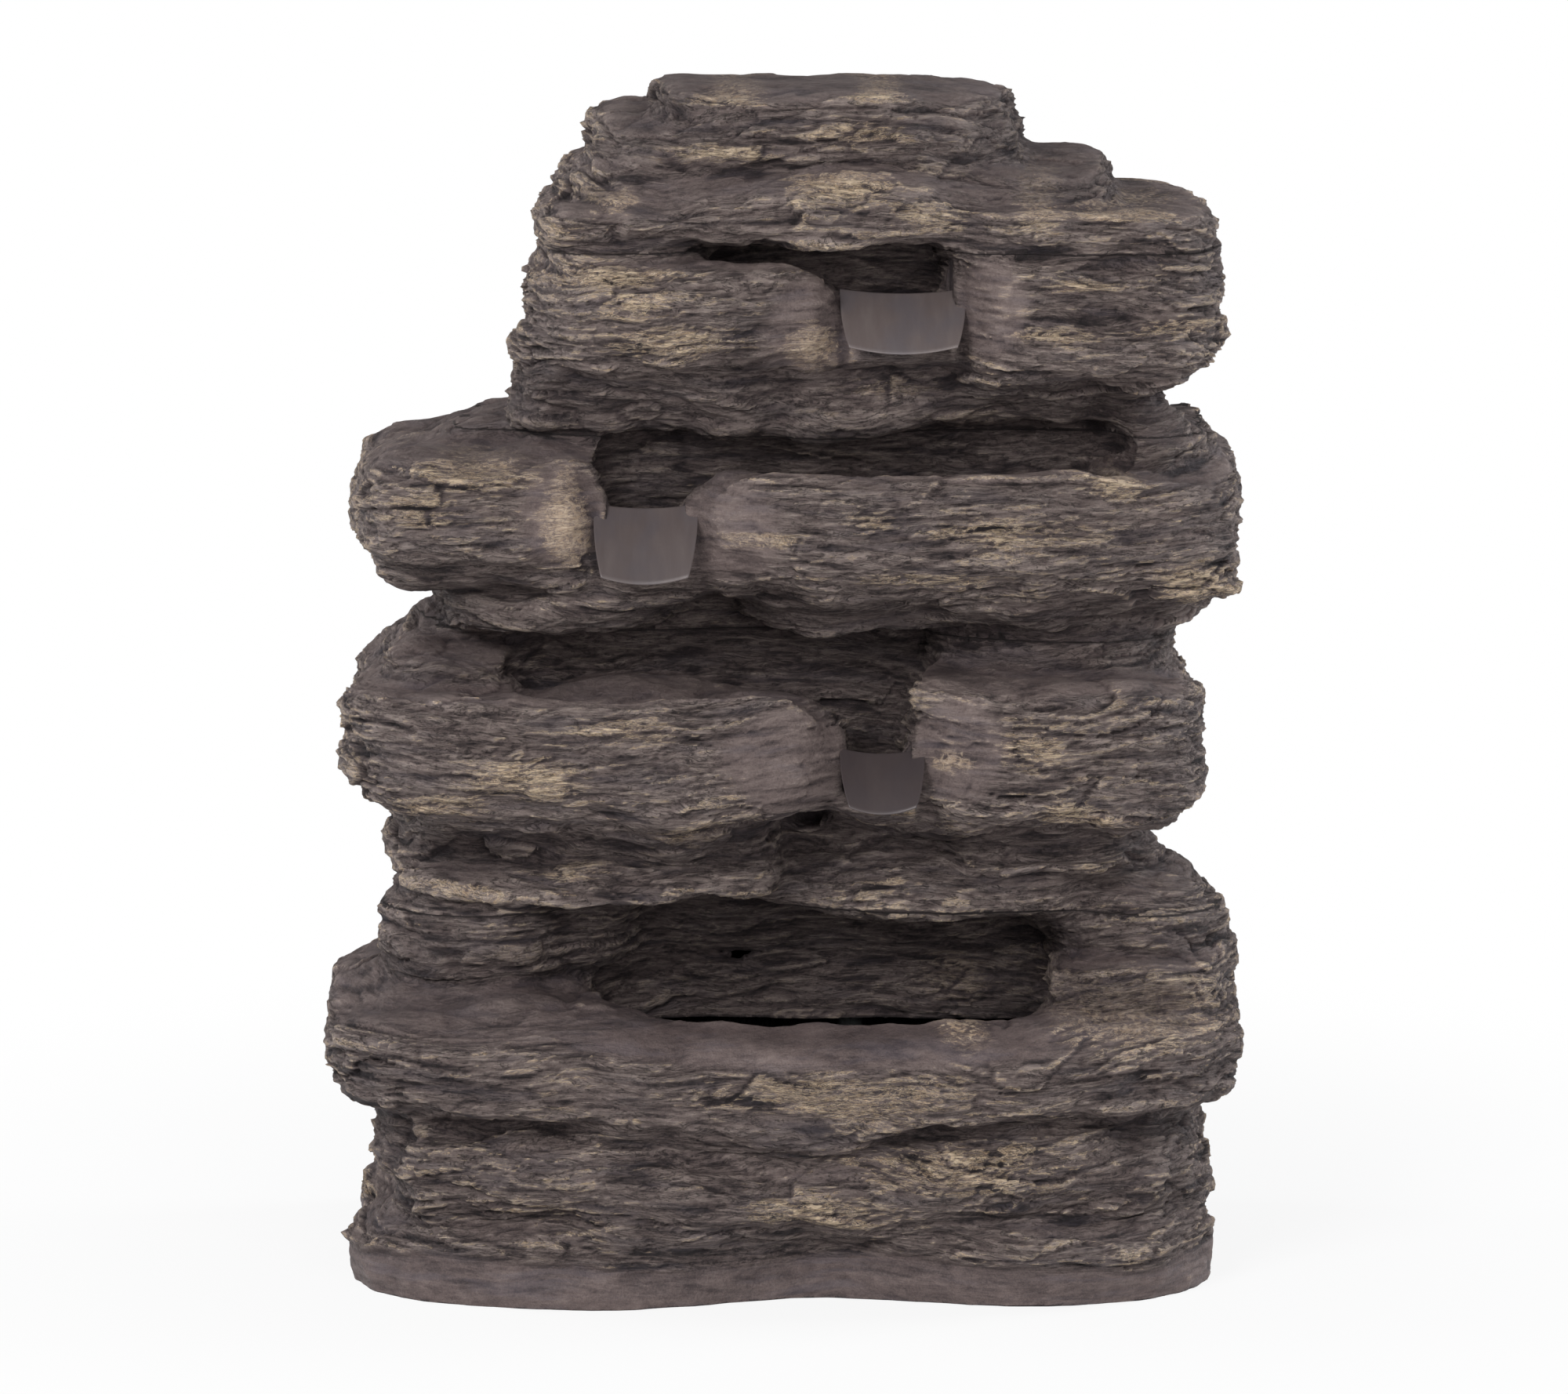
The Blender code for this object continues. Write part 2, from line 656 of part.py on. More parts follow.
def build_base(finish):
    """The base casting, with its reservoir, its pool mouth and the holes in its rear wall."""
    under_rim = RIM_HEIGHT - RIM_THICKNESS
    flange_depth = FLANGE_THICKNESS + PIECE_GAP
    return casting(
        "base_reservoir",
        BASE_ROCKS,
        0.0,
        BASE_HEIGHT,
        [
            bowl(
                "reservoir",
                -RESERVOIR_SIDE,
                RESERVOIR_SIDE,
                RESERVOIR_FRONT,
                HOLLOW_BACK,
                FLOOR_WALL,
                under_rim,
            ),
            bowl(
                "pool_mouth",
                MOUTH_LEFT,
                MOUTH_RIGHT,
                MOUTH_FRONT,
                MOUTH_BACK,
                under_rim - OVERLAP,
                BASE_HEIGHT + CUT_THROUGH,
                round_floor=MOUTH_ROUND,
                corner=MOUTH_CORNER,
            ),
            hollow("sump", BASE_HOLLOW, 0.0, under_rim - OVERLAP, BASE_HEIGHT - DECK_WALL),
            rear_hole("drain_hole", DRAIN_X, DRAIN_Z, DRAIN_RADIUS + PIECE_GAP, CUT_THROUGH),
            rear_hole("drain_recess", DRAIN_X, DRAIN_Z, DRAIN_FLANGE + RECESS_SIDE, flange_depth),
            rear_hole("grommet_hole", GROMMET_X, GROMMET_Z, GROMMET_RADIUS + PIECE_GAP, CUT_THROUGH),
            rear_hole("grommet_recess", GROMMET_X, GROMMET_Z, GROMMET_FLANGE + RECESS_SIDE, flange_depth),
        ],
        finish,
        LOWER_HOLLOW,
    )


def rear_hole(name, x, z, radius, depth):
    """A cutter that goes into the flat back by a depth."""
    return cylinder(name, radius, (x, BACK_Y + CUT_PAST, z), (x, BACK_Y - depth, z))


def door_box(name, inset, front, back):
    """A rounded panel the size of the door's rebate, less an inset all round."""
    bottom = LOWER_SEAT + DOOR_SILL
    return rounded_block(
        name,
        DOOR_X - DOOR_WIDTH / 2 + inset,
        DOOR_X + DOOR_WIDTH / 2 - inset,
        front,
        back,
        bottom + inset,
        bottom + DOOR_HEIGHT - inset,
        DOOR_CORNER,
        along=1,
    )


def magnet_places():
    """Middles of the two magnets, in the lap to the left and right of the door's opening."""
    reach = DOOR_WIDTH / 2 - DOOR_LAP / 2
    height = LOWER_SEAT + DOOR_SILL + DOOR_HEIGHT / 2
    return (("left", DOOR_X - reach, height), ("right", DOOR_X + reach, height))


def build_lower(finish):
    """The lower casting, with its pool, its chute's notch and the door's rebate and opening."""
    rebate = BACK_Y - DOOR_THICKNESS - PIECE_GAP
    cutters = [
        hollow("lower_hollow", LOWER_HOLLOW, LOWER_SEAT, -CUT_PAST, LOWER_HEIGHT - DECK_WALL),
        pool("lower_pool", LOWER_POOL, LOWER_SEAT),
        chute_notch("lower_notch", LOWER_CHUTE, LOWER_SEAT, POOL_TOP),
        door_box("door_rebate", 0.0, rebate, BACK_Y + CUT_PAST),
        door_box("door_opening", DOOR_LAP, HOLLOW_BACK - OVERLAP, BACK_Y + CUT_PAST),
    ]
    for side, x, z in magnet_places():
        ends = ((x, rebate - KEEPER_LENGTH - PIECE_GAP, z), (x, BACK_Y, z))
        cutters.append(cylinder("pocket_" + side, MAGNET_RADIUS + PIECE_GAP, *ends, SMALL_SEGMENTS))
    shape = (LOWER_ROCKS, LOWER_SEAT, LOWER_HEIGHT)
    return casting("lower_tier_rock", *shape, cutters, finish, MIDDLE_HOLLOW)


def build_middle(finish):
    """The middle casting, with its pool and its chute's notch."""
    cutters = [
        hollow("middle_hollow", MIDDLE_HOLLOW, MIDDLE_SEAT, -CUT_PAST, MIDDLE_HEIGHT - DECK_WALL),
        pool("middle_pool", MIDDLE_POOL, MIDDLE_SEAT),
        chute_notch("middle_notch", MIDDLE_CHUTE, MIDDLE_SEAT, POOL_TOP),
    ]
    shape = (MIDDLE_ROCKS, MIDDLE_SEAT, MIDDLE_HEIGHT)
    return casting("middle_tier_rock", *shape, cutters, finish, UPPER_HOLLOW)


def build_upper(finish):
    """The upper casting, with its pool, its chute's notch and the outlet's hole."""
    height = CAP_SEAT - OUTLET_DROP
    outlet = ((OUTLET_X, CORE_FRONT - CUT_PAST, height), (OUTLET_X, HOLLOW_FRONT + CUT_PAST, height))
    cutters = [
        hollow("upper_hollow", UPPER_HOLLOW, UPPER_SEAT, -CUT_PAST, UPPER_HEIGHT - DECK_WALL),
        pool("upper_pool", UPPER_POOL, UPPER_SEAT),
        chute_notch("upper_notch", UPPER_CHUTE, UPPER_SEAT, POOL_TOP),
        cylinder("outlet_hole", OUTLET_RADIUS + PIECE_GAP, *outlet),
    ]
    shape = (UPPER_ROCKS, UPPER_SEAT, UPPER_HEIGHT)
    return casting("upper_tier_rock", *shape, cutters, finish, CAP_HOLLOW)


def build_cap(finish):
    """The cap, hollowed from below."""
    cutters = [hollow("cap_hollow", CAP_HOLLOW, CAP_SEAT, -CUT_PAST, CAP_HOLLOW_TOP)]
    return casting("cap_rock", CAP_ROCKS, CAP_SEAT, CAP_HEIGHT, cutters, finish)


def build_door(door_finish, steel):
    """The pull-off door with its finger grip and magnets, and the keepers in the rebate."""
    face = BACK_Y - DOOR_THICKNESS
    door = door_box("rear_access_door", DOOR_CLEARANCE, face, BACK_Y)
    join(door, door_box("tongue", DOOR_LAP + DOOR_CLEARANCE, face - DOOR_TONGUE, face + DOOR_THICKNESS / 4))
    top = LOWER_SEAT + DOOR_SILL + DOOR_HEIGHT - GRIP_DROP
    grip = rounded_block(
        "grip",
        DOOR_X - GRIP_WIDTH / 2,
        DOOR_X + GRIP_WIDTH / 2,
        BACK_Y - GRIP_DEPTH,
        BACK_Y + CUT_PAST,
        top - GRIP_HEIGHT,
        top,
        GRIP_CORNER,
        along=1,
    )
    cut(door, grip)
    for side, x, z in magnet_places():
        ends = ((x, face - CUT_PAST, z), (x, face + MAGNET_LENGTH + PIECE_GAP, z))
        cut(door, cylinder("pocket", MAGNET_RADIUS + PIECE_GAP, *ends, SMALL_SEGMENTS))
        ends = ((x, face, z), (x, face + MAGNET_LENGTH, z))
        smooth(cylinder("door_magnet_" + side, MAGNET_RADIUS, *ends, SMALL_SEGMENTS, finish=steel))
        ends = ((x, face - PIECE_GAP, z), (x, face - PIECE_GAP - KEEPER_LENGTH, z))
        smooth(cylinder("door_keeper_" + side, MAGNET_RADIUS, *ends, SMALL_SEGMENTS, finish=steel))
    door.data.materials.append(door_finish)
    return smooth(door)


def build_rear_fittings(rubber):
    """The drain plug and the cord grommet, each seated in its recess."""
    seat = BACK_Y - FLANGE_THICKNESS
    inside = HOLLOW_BACK - seat
    plug = [
        (0.0, inside),
        (DRAIN_RADIUS - DRAIN_TAPER, inside),
        (DRAIN_RADIUS, 0.0),
        (DRAIN_FLANGE, 0.0),
        (DRAIN_FLANGE, FLANGE_THICKNESS),
        (0.0, FLANGE_THICKNESS),
    ]
    smooth(turned("drain_plug", plug, (DRAIN_X, seat, DRAIN_Z), (0, 1, 0), rubber))
    ring = [
        (GROMMET_BORE, inside),
        (GROMMET_RADIUS, inside),
        (GROMMET_RADIUS, 0.0),
        (GROMMET_FLANGE, 0.0),
        (GROMMET_FLANGE, FLANGE_THICKNESS),
        (GROMMET_BORE, FLANGE_THICKNESS),
    ]
    smooth(turned("cord_grommet", ring, (GROMMET_X, seat, GROMMET_Z), (0, 1, 0), rubber))


def pump_height():
    return FLOOR_WALL + SEAM_GAP + CUP_HEIGHT + MOTOR_HEIGHT / 2


def cup_places():
    """Middles of the four suction cups, under the corners of the motor housing."""
    for end, x in (("left", PUMP_X - MOTOR_LENGTH + CUP_INSET), ("right", PUMP_X - CUP_INSET)):
        for side, sign in (("front", -1), ("back", 1)):
            yield end + "_" + side, x, PUMP_Y + sign * (MOTOR_WIDTH / 2 - CUP_INSET)


def build_motor(plastic, rubber):
    """The motor housing with its rotor well, its cord gland and its four suction cups."""
    z = pump_height()
    housing = rounded_block(
        "pump_motor_housing",
        PUMP_X - MOTOR_LENGTH,
        PUMP_X,
        PUMP_Y - MOTOR_WIDTH / 2,
        PUMP_Y + MOTOR_WIDTH / 2,
        z - MOTOR_HEIGHT / 2,
        z + MOTOR_HEIGHT / 2,
        MOTOR_EDGE,
        along=0,
    )
    well_end = PUMP_X - ROTOR_LENGTH - ROTOR_CLEARANCE
    mouth = (PUMP_X + CUT_PAST, PUMP_Y, z)
    cut(
        housing,
        cylinder("well", ROTOR_RADIUS + ROTOR_CLEARANCE, (well_end, PUMP_Y, z), mouth),
        cylinder(
            "bush_seat",
            BUSH_RADIUS + PIECE_GAP,
            (well_end - BUSH_LENGTH - PIECE_GAP, PUMP_Y, z),
            (well_end + ROTOR_CLEARANCE, PUMP_Y, z),
            SMALL_SEGMENTS,
        ),
        cylinder(
            "gland_seat",
            GLAND_TIP + PIECE_GAP,
            (PUMP_X - MOTOR_LENGTH - CUT_PAST, PUMP_Y, z),
            (PUMP_X - MOTOR_LENGTH + GLAND_SEAT + PIECE_GAP, PUMP_Y, z),
            SMALL_SEGMENTS,
        ),
    )
    foot = z - MOTOR_HEIGHT / 2
    cup = [
        (0.0, -CUP_HEIGHT * CUP_HOLLOW),
        (CUP_RADIUS * 0.55, -CUP_HEIGHT * 0.62),
        (CUP_RADIUS, -CUP_HEIGHT),
        (CUP_RADIUS * 0.60, -CUP_HEIGHT * 0.36),
        (CUP_STEM, -PIECE_GAP),
        (CUP_STEM, CUP_STEM_LENGTH),
        (0.0, CUP_STEM_LENGTH),
    ]
    for name, x, y in cup_places():
        ends = ((x, y, foot - CUT_PAST), (x, y, foot + CUP_STEM_LENGTH + PIECE_GAP))
        cut(housing, cylinder("stem_seat", CUP_STEM + PIECE_GAP, *ends, SMALL_SEGMENTS))
        smooth(turned("suction_cup_" + name, cup, (x, y, foot), (0, 0, 1), rubber, SMALL_SEGMENTS))
    gland = [
        (0.0, GLAND_SEAT),
        (GLAND_TIP, GLAND_SEAT),
        (GLAND_TIP, -PIECE_GAP),
        (GLAND_RADIUS, -PIECE_GAP),
        (GLAND_TIP, -GLAND_LENGTH),
        (GLAND_BORE, -GLAND_LENGTH),
        (GLAND_BORE, 0.0),
        (0.0, 0.0),
    ]
    end = (PUMP_X - MOTOR_LENGTH, PUMP_Y, z)
    smooth(turned("pump_cord_gland", gland, end, (1, 0, 0), rubber, SMALL_SEGMENTS))
    housing.data.materials.append(plastic)
    smooth(housing)


def build_rotor(magnet, plastic, ceramic, rubber):
    """The magnet and impeller that turn on a fixed spindle, and the bushes that hold the spindle's ends."""
    z = pump_height()
    bore = SPINDLE_RADIUS + SPINDLE_RUNNING
    ring = [(bore, 0.0), (ROTOR_RADIUS, 0.0), (ROTOR_RADIUS, ROTOR_LENGTH), (bore, ROTOR_LENGTH)]
    start = PUMP_X - ROTOR_LENGTH
    smooth(turned("pump_rotor_magnet", ring, (start, PUMP_Y, z), (1, 0, 0), magnet))
    plate = [
        (bore, 0.0),
        (IMPELLER_RADIUS, 0.0),
        (IMPELLER_RADIUS, IMPELLER_PLATE),
        (IMPELLER_HUB, IMPELLER_PLATE),
        (IMPELLER_HUB, IMPELLER_LENGTH),
        (bore, IMPELLER_LENGTH),
    ]
    face = PUMP_X + 2 * PIECE_GAP
    impeller = turned("pump_impeller", plate, (face, PUMP_Y, z), (1, 0, 0), plastic)
    for index in range(IMPELLER_BLADES):
        blade = block(
            "blade",
            face + IMPELLER_PLATE / 2,
            face + IMPELLER_LENGTH - BLADE_EDGE,
            -BLADE_THICKNESS / 2,
            BLADE_THICKNESS / 2,
            IMPELLER_HUB - BLADE_ROOT,
            IMPELLER_RADIUS - BLADE_TIP,
        )
        turn = Matrix.Rotation(math.tau * index / IMPELLER_BLADES, 4, "X")
        blade.data.transform(Matrix.Translation((0, PUMP_Y, z)) @ turn)
        join(impeller, blade)
    smooth(impeller)
    rear = PUMP_X - ROTOR_LENGTH - ROTOR_CLEARANCE
    bush = [
        (0.0, -BUSH_LENGTH),
        (BUSH_RADIUS, -BUSH_LENGTH),
        (BUSH_RADIUS, 0.0),
        (SPINDLE_RADIUS + PIECE_GAP / 2, 0.0),
        (SPINDLE_RADIUS + PIECE_GAP / 2, -BUSH_DEPTH),
        (0.0, -BUSH_DEPTH),
    ]
    smooth(turned("pump_bush_rear", bush, (rear, PUMP_Y, z), (1, 0, 0), rubber, SMALL_SEGMENTS))
    nose = face + IMPELLER_LENGTH + PIECE_GAP
    smooth(turned("pump_bush_front", bush, (nose, PUMP_Y, z), (-1, 0, 0), rubber, SMALL_SEGMENTS))
    ends = ((rear - BUSH_DEPTH + PIECE_GAP, PUMP_Y, z), (nose + BUSH_DEPTH - PIECE_GAP, PUMP_Y, z))
    smooth(cylinder("pump_spindle", SPINDLE_RADIUS, *ends, SMALL_SEGMENTS, finish=ceramic))
    return nose


def build_volute(plastic, nose):
    """The impeller's chamber, with its intake holes, the seat of the front bush and the hose nozzle."""
    z = pump_height()
    left = PUMP_X + PIECE_GAP
    right = nose + BUSH_LENGTH + PIECE_GAP + VOLUTE_FACE
    volute = cylinder("pump_volute", VOLUTE_RADIUS, (left, PUMP_Y, z), (right, PUMP_Y, z))
    middle = left + NOZZLE_RADIUS
    root = z + VOLUTE_RADIUS
    shoulder = (middle, PUMP_Y, root + NOZZLE_HEIGHT)
    barb_top = root + NOZZLE_HEIGHT + BARB_LENGTH
    join(
        volute,
        cylinder("nozzle", NOZZLE_RADIUS, (middle, PUMP_Y, z), shoulder, SMALL_SEGMENTS),
        cylinder("barb", BARB_RADIUS, (middle, PUMP_Y, z), (middle, PUMP_Y, barb_top), SMALL_SEGMENTS),
    )
    chamber = ((left - CUT_PAST, PUMP_Y, z), (nose + PIECE_GAP, PUMP_Y, z))
    bore = ((middle, PUMP_Y, z + NOZZLE_BORE_START), (middle, PUMP_Y, barb_top + CUT_PAST))
    cut(
        volute,
        cylinder("chamber", IMPELLER_RADIUS + CHAMBER_CLEARANCE, *chamber),
        cylinder("bore", BARB_BORE, *bore, SMALL_SEGMENTS),
        cylinder(
            "bush_seat",
            BUSH_RADIUS + PIECE_GAP,
            (nose - BUSH_LENGTH, PUMP_Y, z),
            (nose + BUSH_LENGTH + PIECE_GAP, PUMP_Y, z),
            SMALL_SEGMENTS,
        ),
    )
    for index in range(INTAKE_COUNT):
        angle = math.tau * (index + 0.5) / INTAKE_COUNT
        y = PUMP_Y + INTAKE_RING * math.sin(angle)
        height = z + INTAKE_RING * math.cos(angle)
        ends = ((nose - BUSH_LENGTH, y, height), (right + CUT_PAST, y, height))
        cut(volute, cylinder("intake", INTAKE_RADIUS, *ends, INTAKE_SEGMENTS))
    volute.data.materials.append(plastic)
    smooth(volute)
    return right, shoulder


def build_grille(plastic, start):
    """The slotted intake cover, and the dial that turns in its face to set the flow."""
    z = pump_height()
    left = start + PIECE_GAP
    right = left + GRILLE_LENGTH
    outer = VOLUTE_RADIUS
    inner = outer - GRILLE_WALL
    cup = [
        (inner, 0.0),
        (outer, 0.0),
        (outer, GRILLE_LENGTH - GRILLE_CHAMFER),
        (outer - GRILLE_CHAMFER, GRILLE_LENGTH),
        (DIAL_PIN + PIECE_GAP, GRILLE_LENGTH),
        (DIAL_PIN + PIECE_GAP, GRILLE_LENGTH - GRILLE_WALL),
        (inner - GRILLE_INNER_CHAMFER, GRILLE_LENGTH - GRILLE_WALL),
        (inner, GRILLE_LENGTH - GRILLE_CHAMFER - GRILLE_WALL),
    ]
    grille = turned("pump_intake_grille", cup, (left, PUMP_Y, z), (1, 0, 0), plastic)
    for index in range(GRILLE_SLOTS):
        slot = block(
            "slot",
            left + GRILLE_SLOT_START,
            right - GRILLE_SLOT_END,
            -GRILLE_SLOT_WIDTH / 2,
            GRILLE_SLOT_WIDTH / 2,
            inner - CUT_PAST / 2,
            outer + CUT_PAST / 2,
        )
        turn = Matrix.Rotation(math.tau * (index + 0.5) / GRILLE_SLOTS, 4, "X")
        slot.data.transform(Matrix.Translation((0, PUMP_Y, z)) @ turn)
        cut(grille, slot)
    smooth(grille)
    dial = [
        (0.0, -GRILLE_WALL - DIAL_PIN_END),
        (DIAL_PIN, -GRILLE_WALL - DIAL_PIN_END),
        (DIAL_PIN, PIECE_GAP),
        (DIAL_RADIUS, PIECE_GAP),
        (DIAL_RADIUS, DIAL_THICKNESS),
        (0.0, DIAL_THICKNESS),
    ]
    knob = turned("flow_dial", dial, (right, PUMP_Y, z), (1, 0, 0), plastic)
    bar = block(
        "bar",
        right + DIAL_THICKNESS / 2,
        right + DIAL_THICKNESS + DIAL_GRIP,
        PUMP_Y - DIAL_GRIP_WIDTH / 2,
        PUMP_Y + DIAL_GRIP_WIDTH / 2,
        z - DIAL_RADIUS * DIAL_BAR,
        z + DIAL_RADIUS * DIAL_BAR,
    )
    join(knob, bar)
    smooth(knob)


def build_outlet(plastic, rubber):
    """The elbow through the top pool's wall, with its gasket and nut."""
    z = CAP_SEAT - OUTLET_DROP
    gasket_start = HOLLOW_FRONT + PIECE_GAP
    flange_start = gasket_start + GASKET_THICKNESS + PIECE_GAP
    pool_end = CORE_FRONT - OUTLET_REACH
    run = ((OUTLET_X, pool_end, z), (OUTLET_X, OUTLET_Y + OUTLET_ELBOW_END, z))
    elbow = cylinder("outlet_elbow", OUTLET_RADIUS, *run, SMALL_SEGMENTS)
    flange = ((OUTLET_X, flange_start, z), (OUTLET_X, flange_start + OUTLET_FLANGE_THICKNESS, z))
    shoulder = z - OUTLET_LEG
    leg = ((OUTLET_X, OUTLET_Y, z + OUTLET_ELBOW_TOP), (OUTLET_X, OUTLET_Y, shoulder))
    barb_end = shoulder - BARB_LENGTH
    barb = ((OUTLET_X, OUTLET_Y, z - OUTLET_BARB_ROOT), (OUTLET_X, OUTLET_Y, barb_end))
    turn = OUTLET_Y + BARB_BORE * OUTLET_BORE_END
    join(
        elbow,
        cylinder("flange", OUTLET_FLANGE, *flange, SMALL_SEGMENTS),
        cylinder("leg", OUTLET_LEG_RADIUS, *leg, SMALL_SEGMENTS),
        cylinder("barb", BARB_RADIUS, *barb, SMALL_SEGMENTS),
    )
    cut(
        elbow,
        cylinder("bore", BARB_BORE, (OUTLET_X, pool_end - CUT_PAST, z), (OUTLET_X, turn, z), SMALL_SEGMENTS),
        cylinder(
            "leg_bore",
            BARB_BORE,
            (OUTLET_X, OUTLET_Y, z + OUTLET_LEG_BORE),
            (OUTLET_X, OUTLET_Y, barb_end - CUT_PAST),
            SMALL_SEGMENTS,
        ),
    )
    elbow.data.materials.append(plastic)
    smooth(elbow)
    hole = OUTLET_RADIUS + PIECE_GAP
    seal = [
        (hole, 0.0),
        (OUTLET_FLANGE, 0.0),
        (OUTLET_FLANGE, GASKET_THICKNESS),
        (hole, GASKET_THICKNESS),
    ]
    smooth(turned("outlet_gasket", seal, (OUTLET_X, gasket_start, z), (0, 1, 0), rubber))
    face = CORE_FRONT - NUT_STAND
    ends = ((OUTLET_X, face, z), (OUTLET_X, face - NUT_THICKNESS, z))
    nut = cylinder("outlet_nut", NUT_RADIUS, *ends, NUT_SIDES)
    ends = ((OUTLET_X, face + CUT_PAST, z), (OUTLET_X, face - NUT_THICKNESS - CUT_PAST, z))
    cut(nut, cylinder("thread", hole, *ends))
    nut.data.materials.append(plastic)
    smooth(nut)
    return OUTLET_X, OUTLET_Y, shoulder


def build_hose(rubber, steel, bottom, top):
    """The hose from the pump's nozzle to the outlet elbow, with a clamp at each end."""
    low = Vector(bottom) + Vector((0, 0, PIECE_GAP))
    high = Vector(top) - Vector((0, 0, PIECE_GAP))
    bm = bmesh.new()
    outer, inner = [], []
    heights = [low.z]
    for station in range(HOSE_STATIONS + 1):
        share = station / HOSE_STATIONS
        heights.append(low.z + HOSE_STRAIGHT + (high.z - low.z - 2 * HOSE_STRAIGHT) * share)
    heights.append(high.z)
    for height in heights:
        share = (height - heights[1]) / (heights[-2] - heights[1])
        share = min(max(share, 0.0), 1.0)
        middle = low.lerp(high, share * share * (3 - 2 * share))
        middle.z = height
        outer.append(ring_of(bm, middle, HOSE_OUTER))
        inner.append(ring_of(bm, middle, HOSE_BORE))
    section = outer + inner[::-1]
    for first, second in zip(section, section[1:] + section[:1]):
        for index in range(SMALL_SEGMENTS):
            after = (index + 1) % SMALL_SEGMENTS
            bm.faces.new((first[index], first[after], second[after], second[index]))
    smooth(object_from(bm, "supply_hose", rubber))
    for name, end, side in (("lower", low, 1), ("upper", high, -1)):
        middle = end + Vector((0, 0, side * BARB_LENGTH * CLAMP_PLACE))
        hose_clamp("hose_clamp_" + name, middle, steel)


def ring_of(bm, middle, radius):
    return bmesh.ops.create_circle(
        bm, radius=radius, segments=SMALL_SEGMENTS, matrix=Matrix.Translation(middle)
    )["verts"]


def hose_clamp(name, middle, steel):
    """A band round the hose, with the block that holds its screw."""
    inner = HOSE_OUTER + PIECE_GAP * 2
    outer = inner + CLAMP_WALL
    half = CLAMP_WIDTH / 2
    band = turned(
        name,
        [(inner, -half), (outer, -half), (outer, half), (inner, half)],
        middle,
        (0, 0, 1),
        steel,
    )
    screw = block(
        "screw",
        middle.x - CLAMP_SCREW / 2,
        middle.x + CLAMP_SCREW / 2,
        middle.y + inner + CLAMP_WALL / 2,
        middle.y + outer + CLAMP_SCREW,
        middle.z - half * CLAMP_BLOCK,
        middle.z + half * CLAMP_BLOCK,
    )
    join(band, screw)
    return smooth(band)


def main():
    clear_scene()
    stone = material("cast_resin_rock", (0.105, 0.088, 0.080), 0.82)
    chute_finish = material("bronzed_resin", (0.130, 0.112, 0.104), 0.42, 0.25)
    door_finish = material("moulded_door", (0.050, 0.044, 0.042), 0.70)
    rubber = material("black_rubber", (0.020, 0.020, 0.021), 0.80)
    hose_finish = material("clear_grey_vinyl", (0.230, 0.240, 0.240), 0.35)
    plastic = material("pump_plastic", (0.026, 0.027, 0.029), 0.45)
    magnet = material("ferrite", (0.060, 0.060, 0.064), 0.50, 0.40)
    ceramic = material("white_ceramic", (0.800, 0.790, 0.760), 0.30)
    steel = material("stainless_steel", (0.560, 0.560, 0.570), 0.30, 1.0)
    build_base(stone)
    build_lower(stone)
    build_middle(stone)
    build_upper(stone)
    build_cap(stone)
    spill_chute("upper_spill_chute", UPPER_CHUTE, UPPER_SEAT, chute_finish)
    spill_chute("middle_spill_chute", MIDDLE_CHUTE, MIDDLE_SEAT, chute_finish)
    spill_chute("lower_spill_chute", LOWER_CHUTE, LOWER_SEAT, chute_finish)
    build_door(door_finish, steel)
    build_rear_fittings(rubber)
    build_motor(plastic, rubber)
    nose = build_rotor(magnet, plastic, ceramic, rubber)
    face, nozzle = build_volute(plastic, nose)
    build_grille(plastic, face)
    shoulder = build_outlet(plastic, rubber)
    build_hose(hose_finish, steel, nozzle, shoulder)


if __name__ == "__main__":
    main()
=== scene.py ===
"""Looks of the three-tier cascading fountain: its rock skin, chutes, rear door, pump and hose, and its studio.

The five castings are fused, roughened as one rock so that the strata run on across their seams, and sliced again.
Metres, +Z up. The front faces -Y.
"""

import json
import math
from typing import NamedTuple

import bmesh
import bpy
import numpy as np
from bpy.props import FloatProperty, FloatVectorProperty, PointerProperty
from mathutils import Matrix, Vector


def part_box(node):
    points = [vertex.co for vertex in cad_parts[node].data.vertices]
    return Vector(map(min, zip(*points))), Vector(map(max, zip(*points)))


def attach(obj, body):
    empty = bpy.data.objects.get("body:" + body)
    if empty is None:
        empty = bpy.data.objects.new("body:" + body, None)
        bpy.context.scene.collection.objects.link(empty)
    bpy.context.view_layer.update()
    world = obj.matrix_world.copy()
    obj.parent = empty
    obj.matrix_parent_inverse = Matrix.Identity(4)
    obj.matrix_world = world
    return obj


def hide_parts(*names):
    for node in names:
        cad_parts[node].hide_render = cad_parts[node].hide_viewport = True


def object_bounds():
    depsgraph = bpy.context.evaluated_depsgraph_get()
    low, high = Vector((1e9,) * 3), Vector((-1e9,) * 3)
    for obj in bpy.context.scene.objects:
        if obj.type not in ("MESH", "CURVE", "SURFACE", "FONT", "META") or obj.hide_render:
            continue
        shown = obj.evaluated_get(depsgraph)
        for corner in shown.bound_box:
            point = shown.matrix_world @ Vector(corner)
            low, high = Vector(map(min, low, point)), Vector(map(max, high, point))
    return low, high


bl_info = {
    "name": "Cascading Rock Fountain",
    "version": (1, 0, 0),
    "blender": (4, 5, 0),
    "location": "View3D > Sidebar > Fountain",
    "description": "Dresses the fountain's frame with rock, resin, plastic, rubber and steel, and lights it",
    "category": "Object",
}

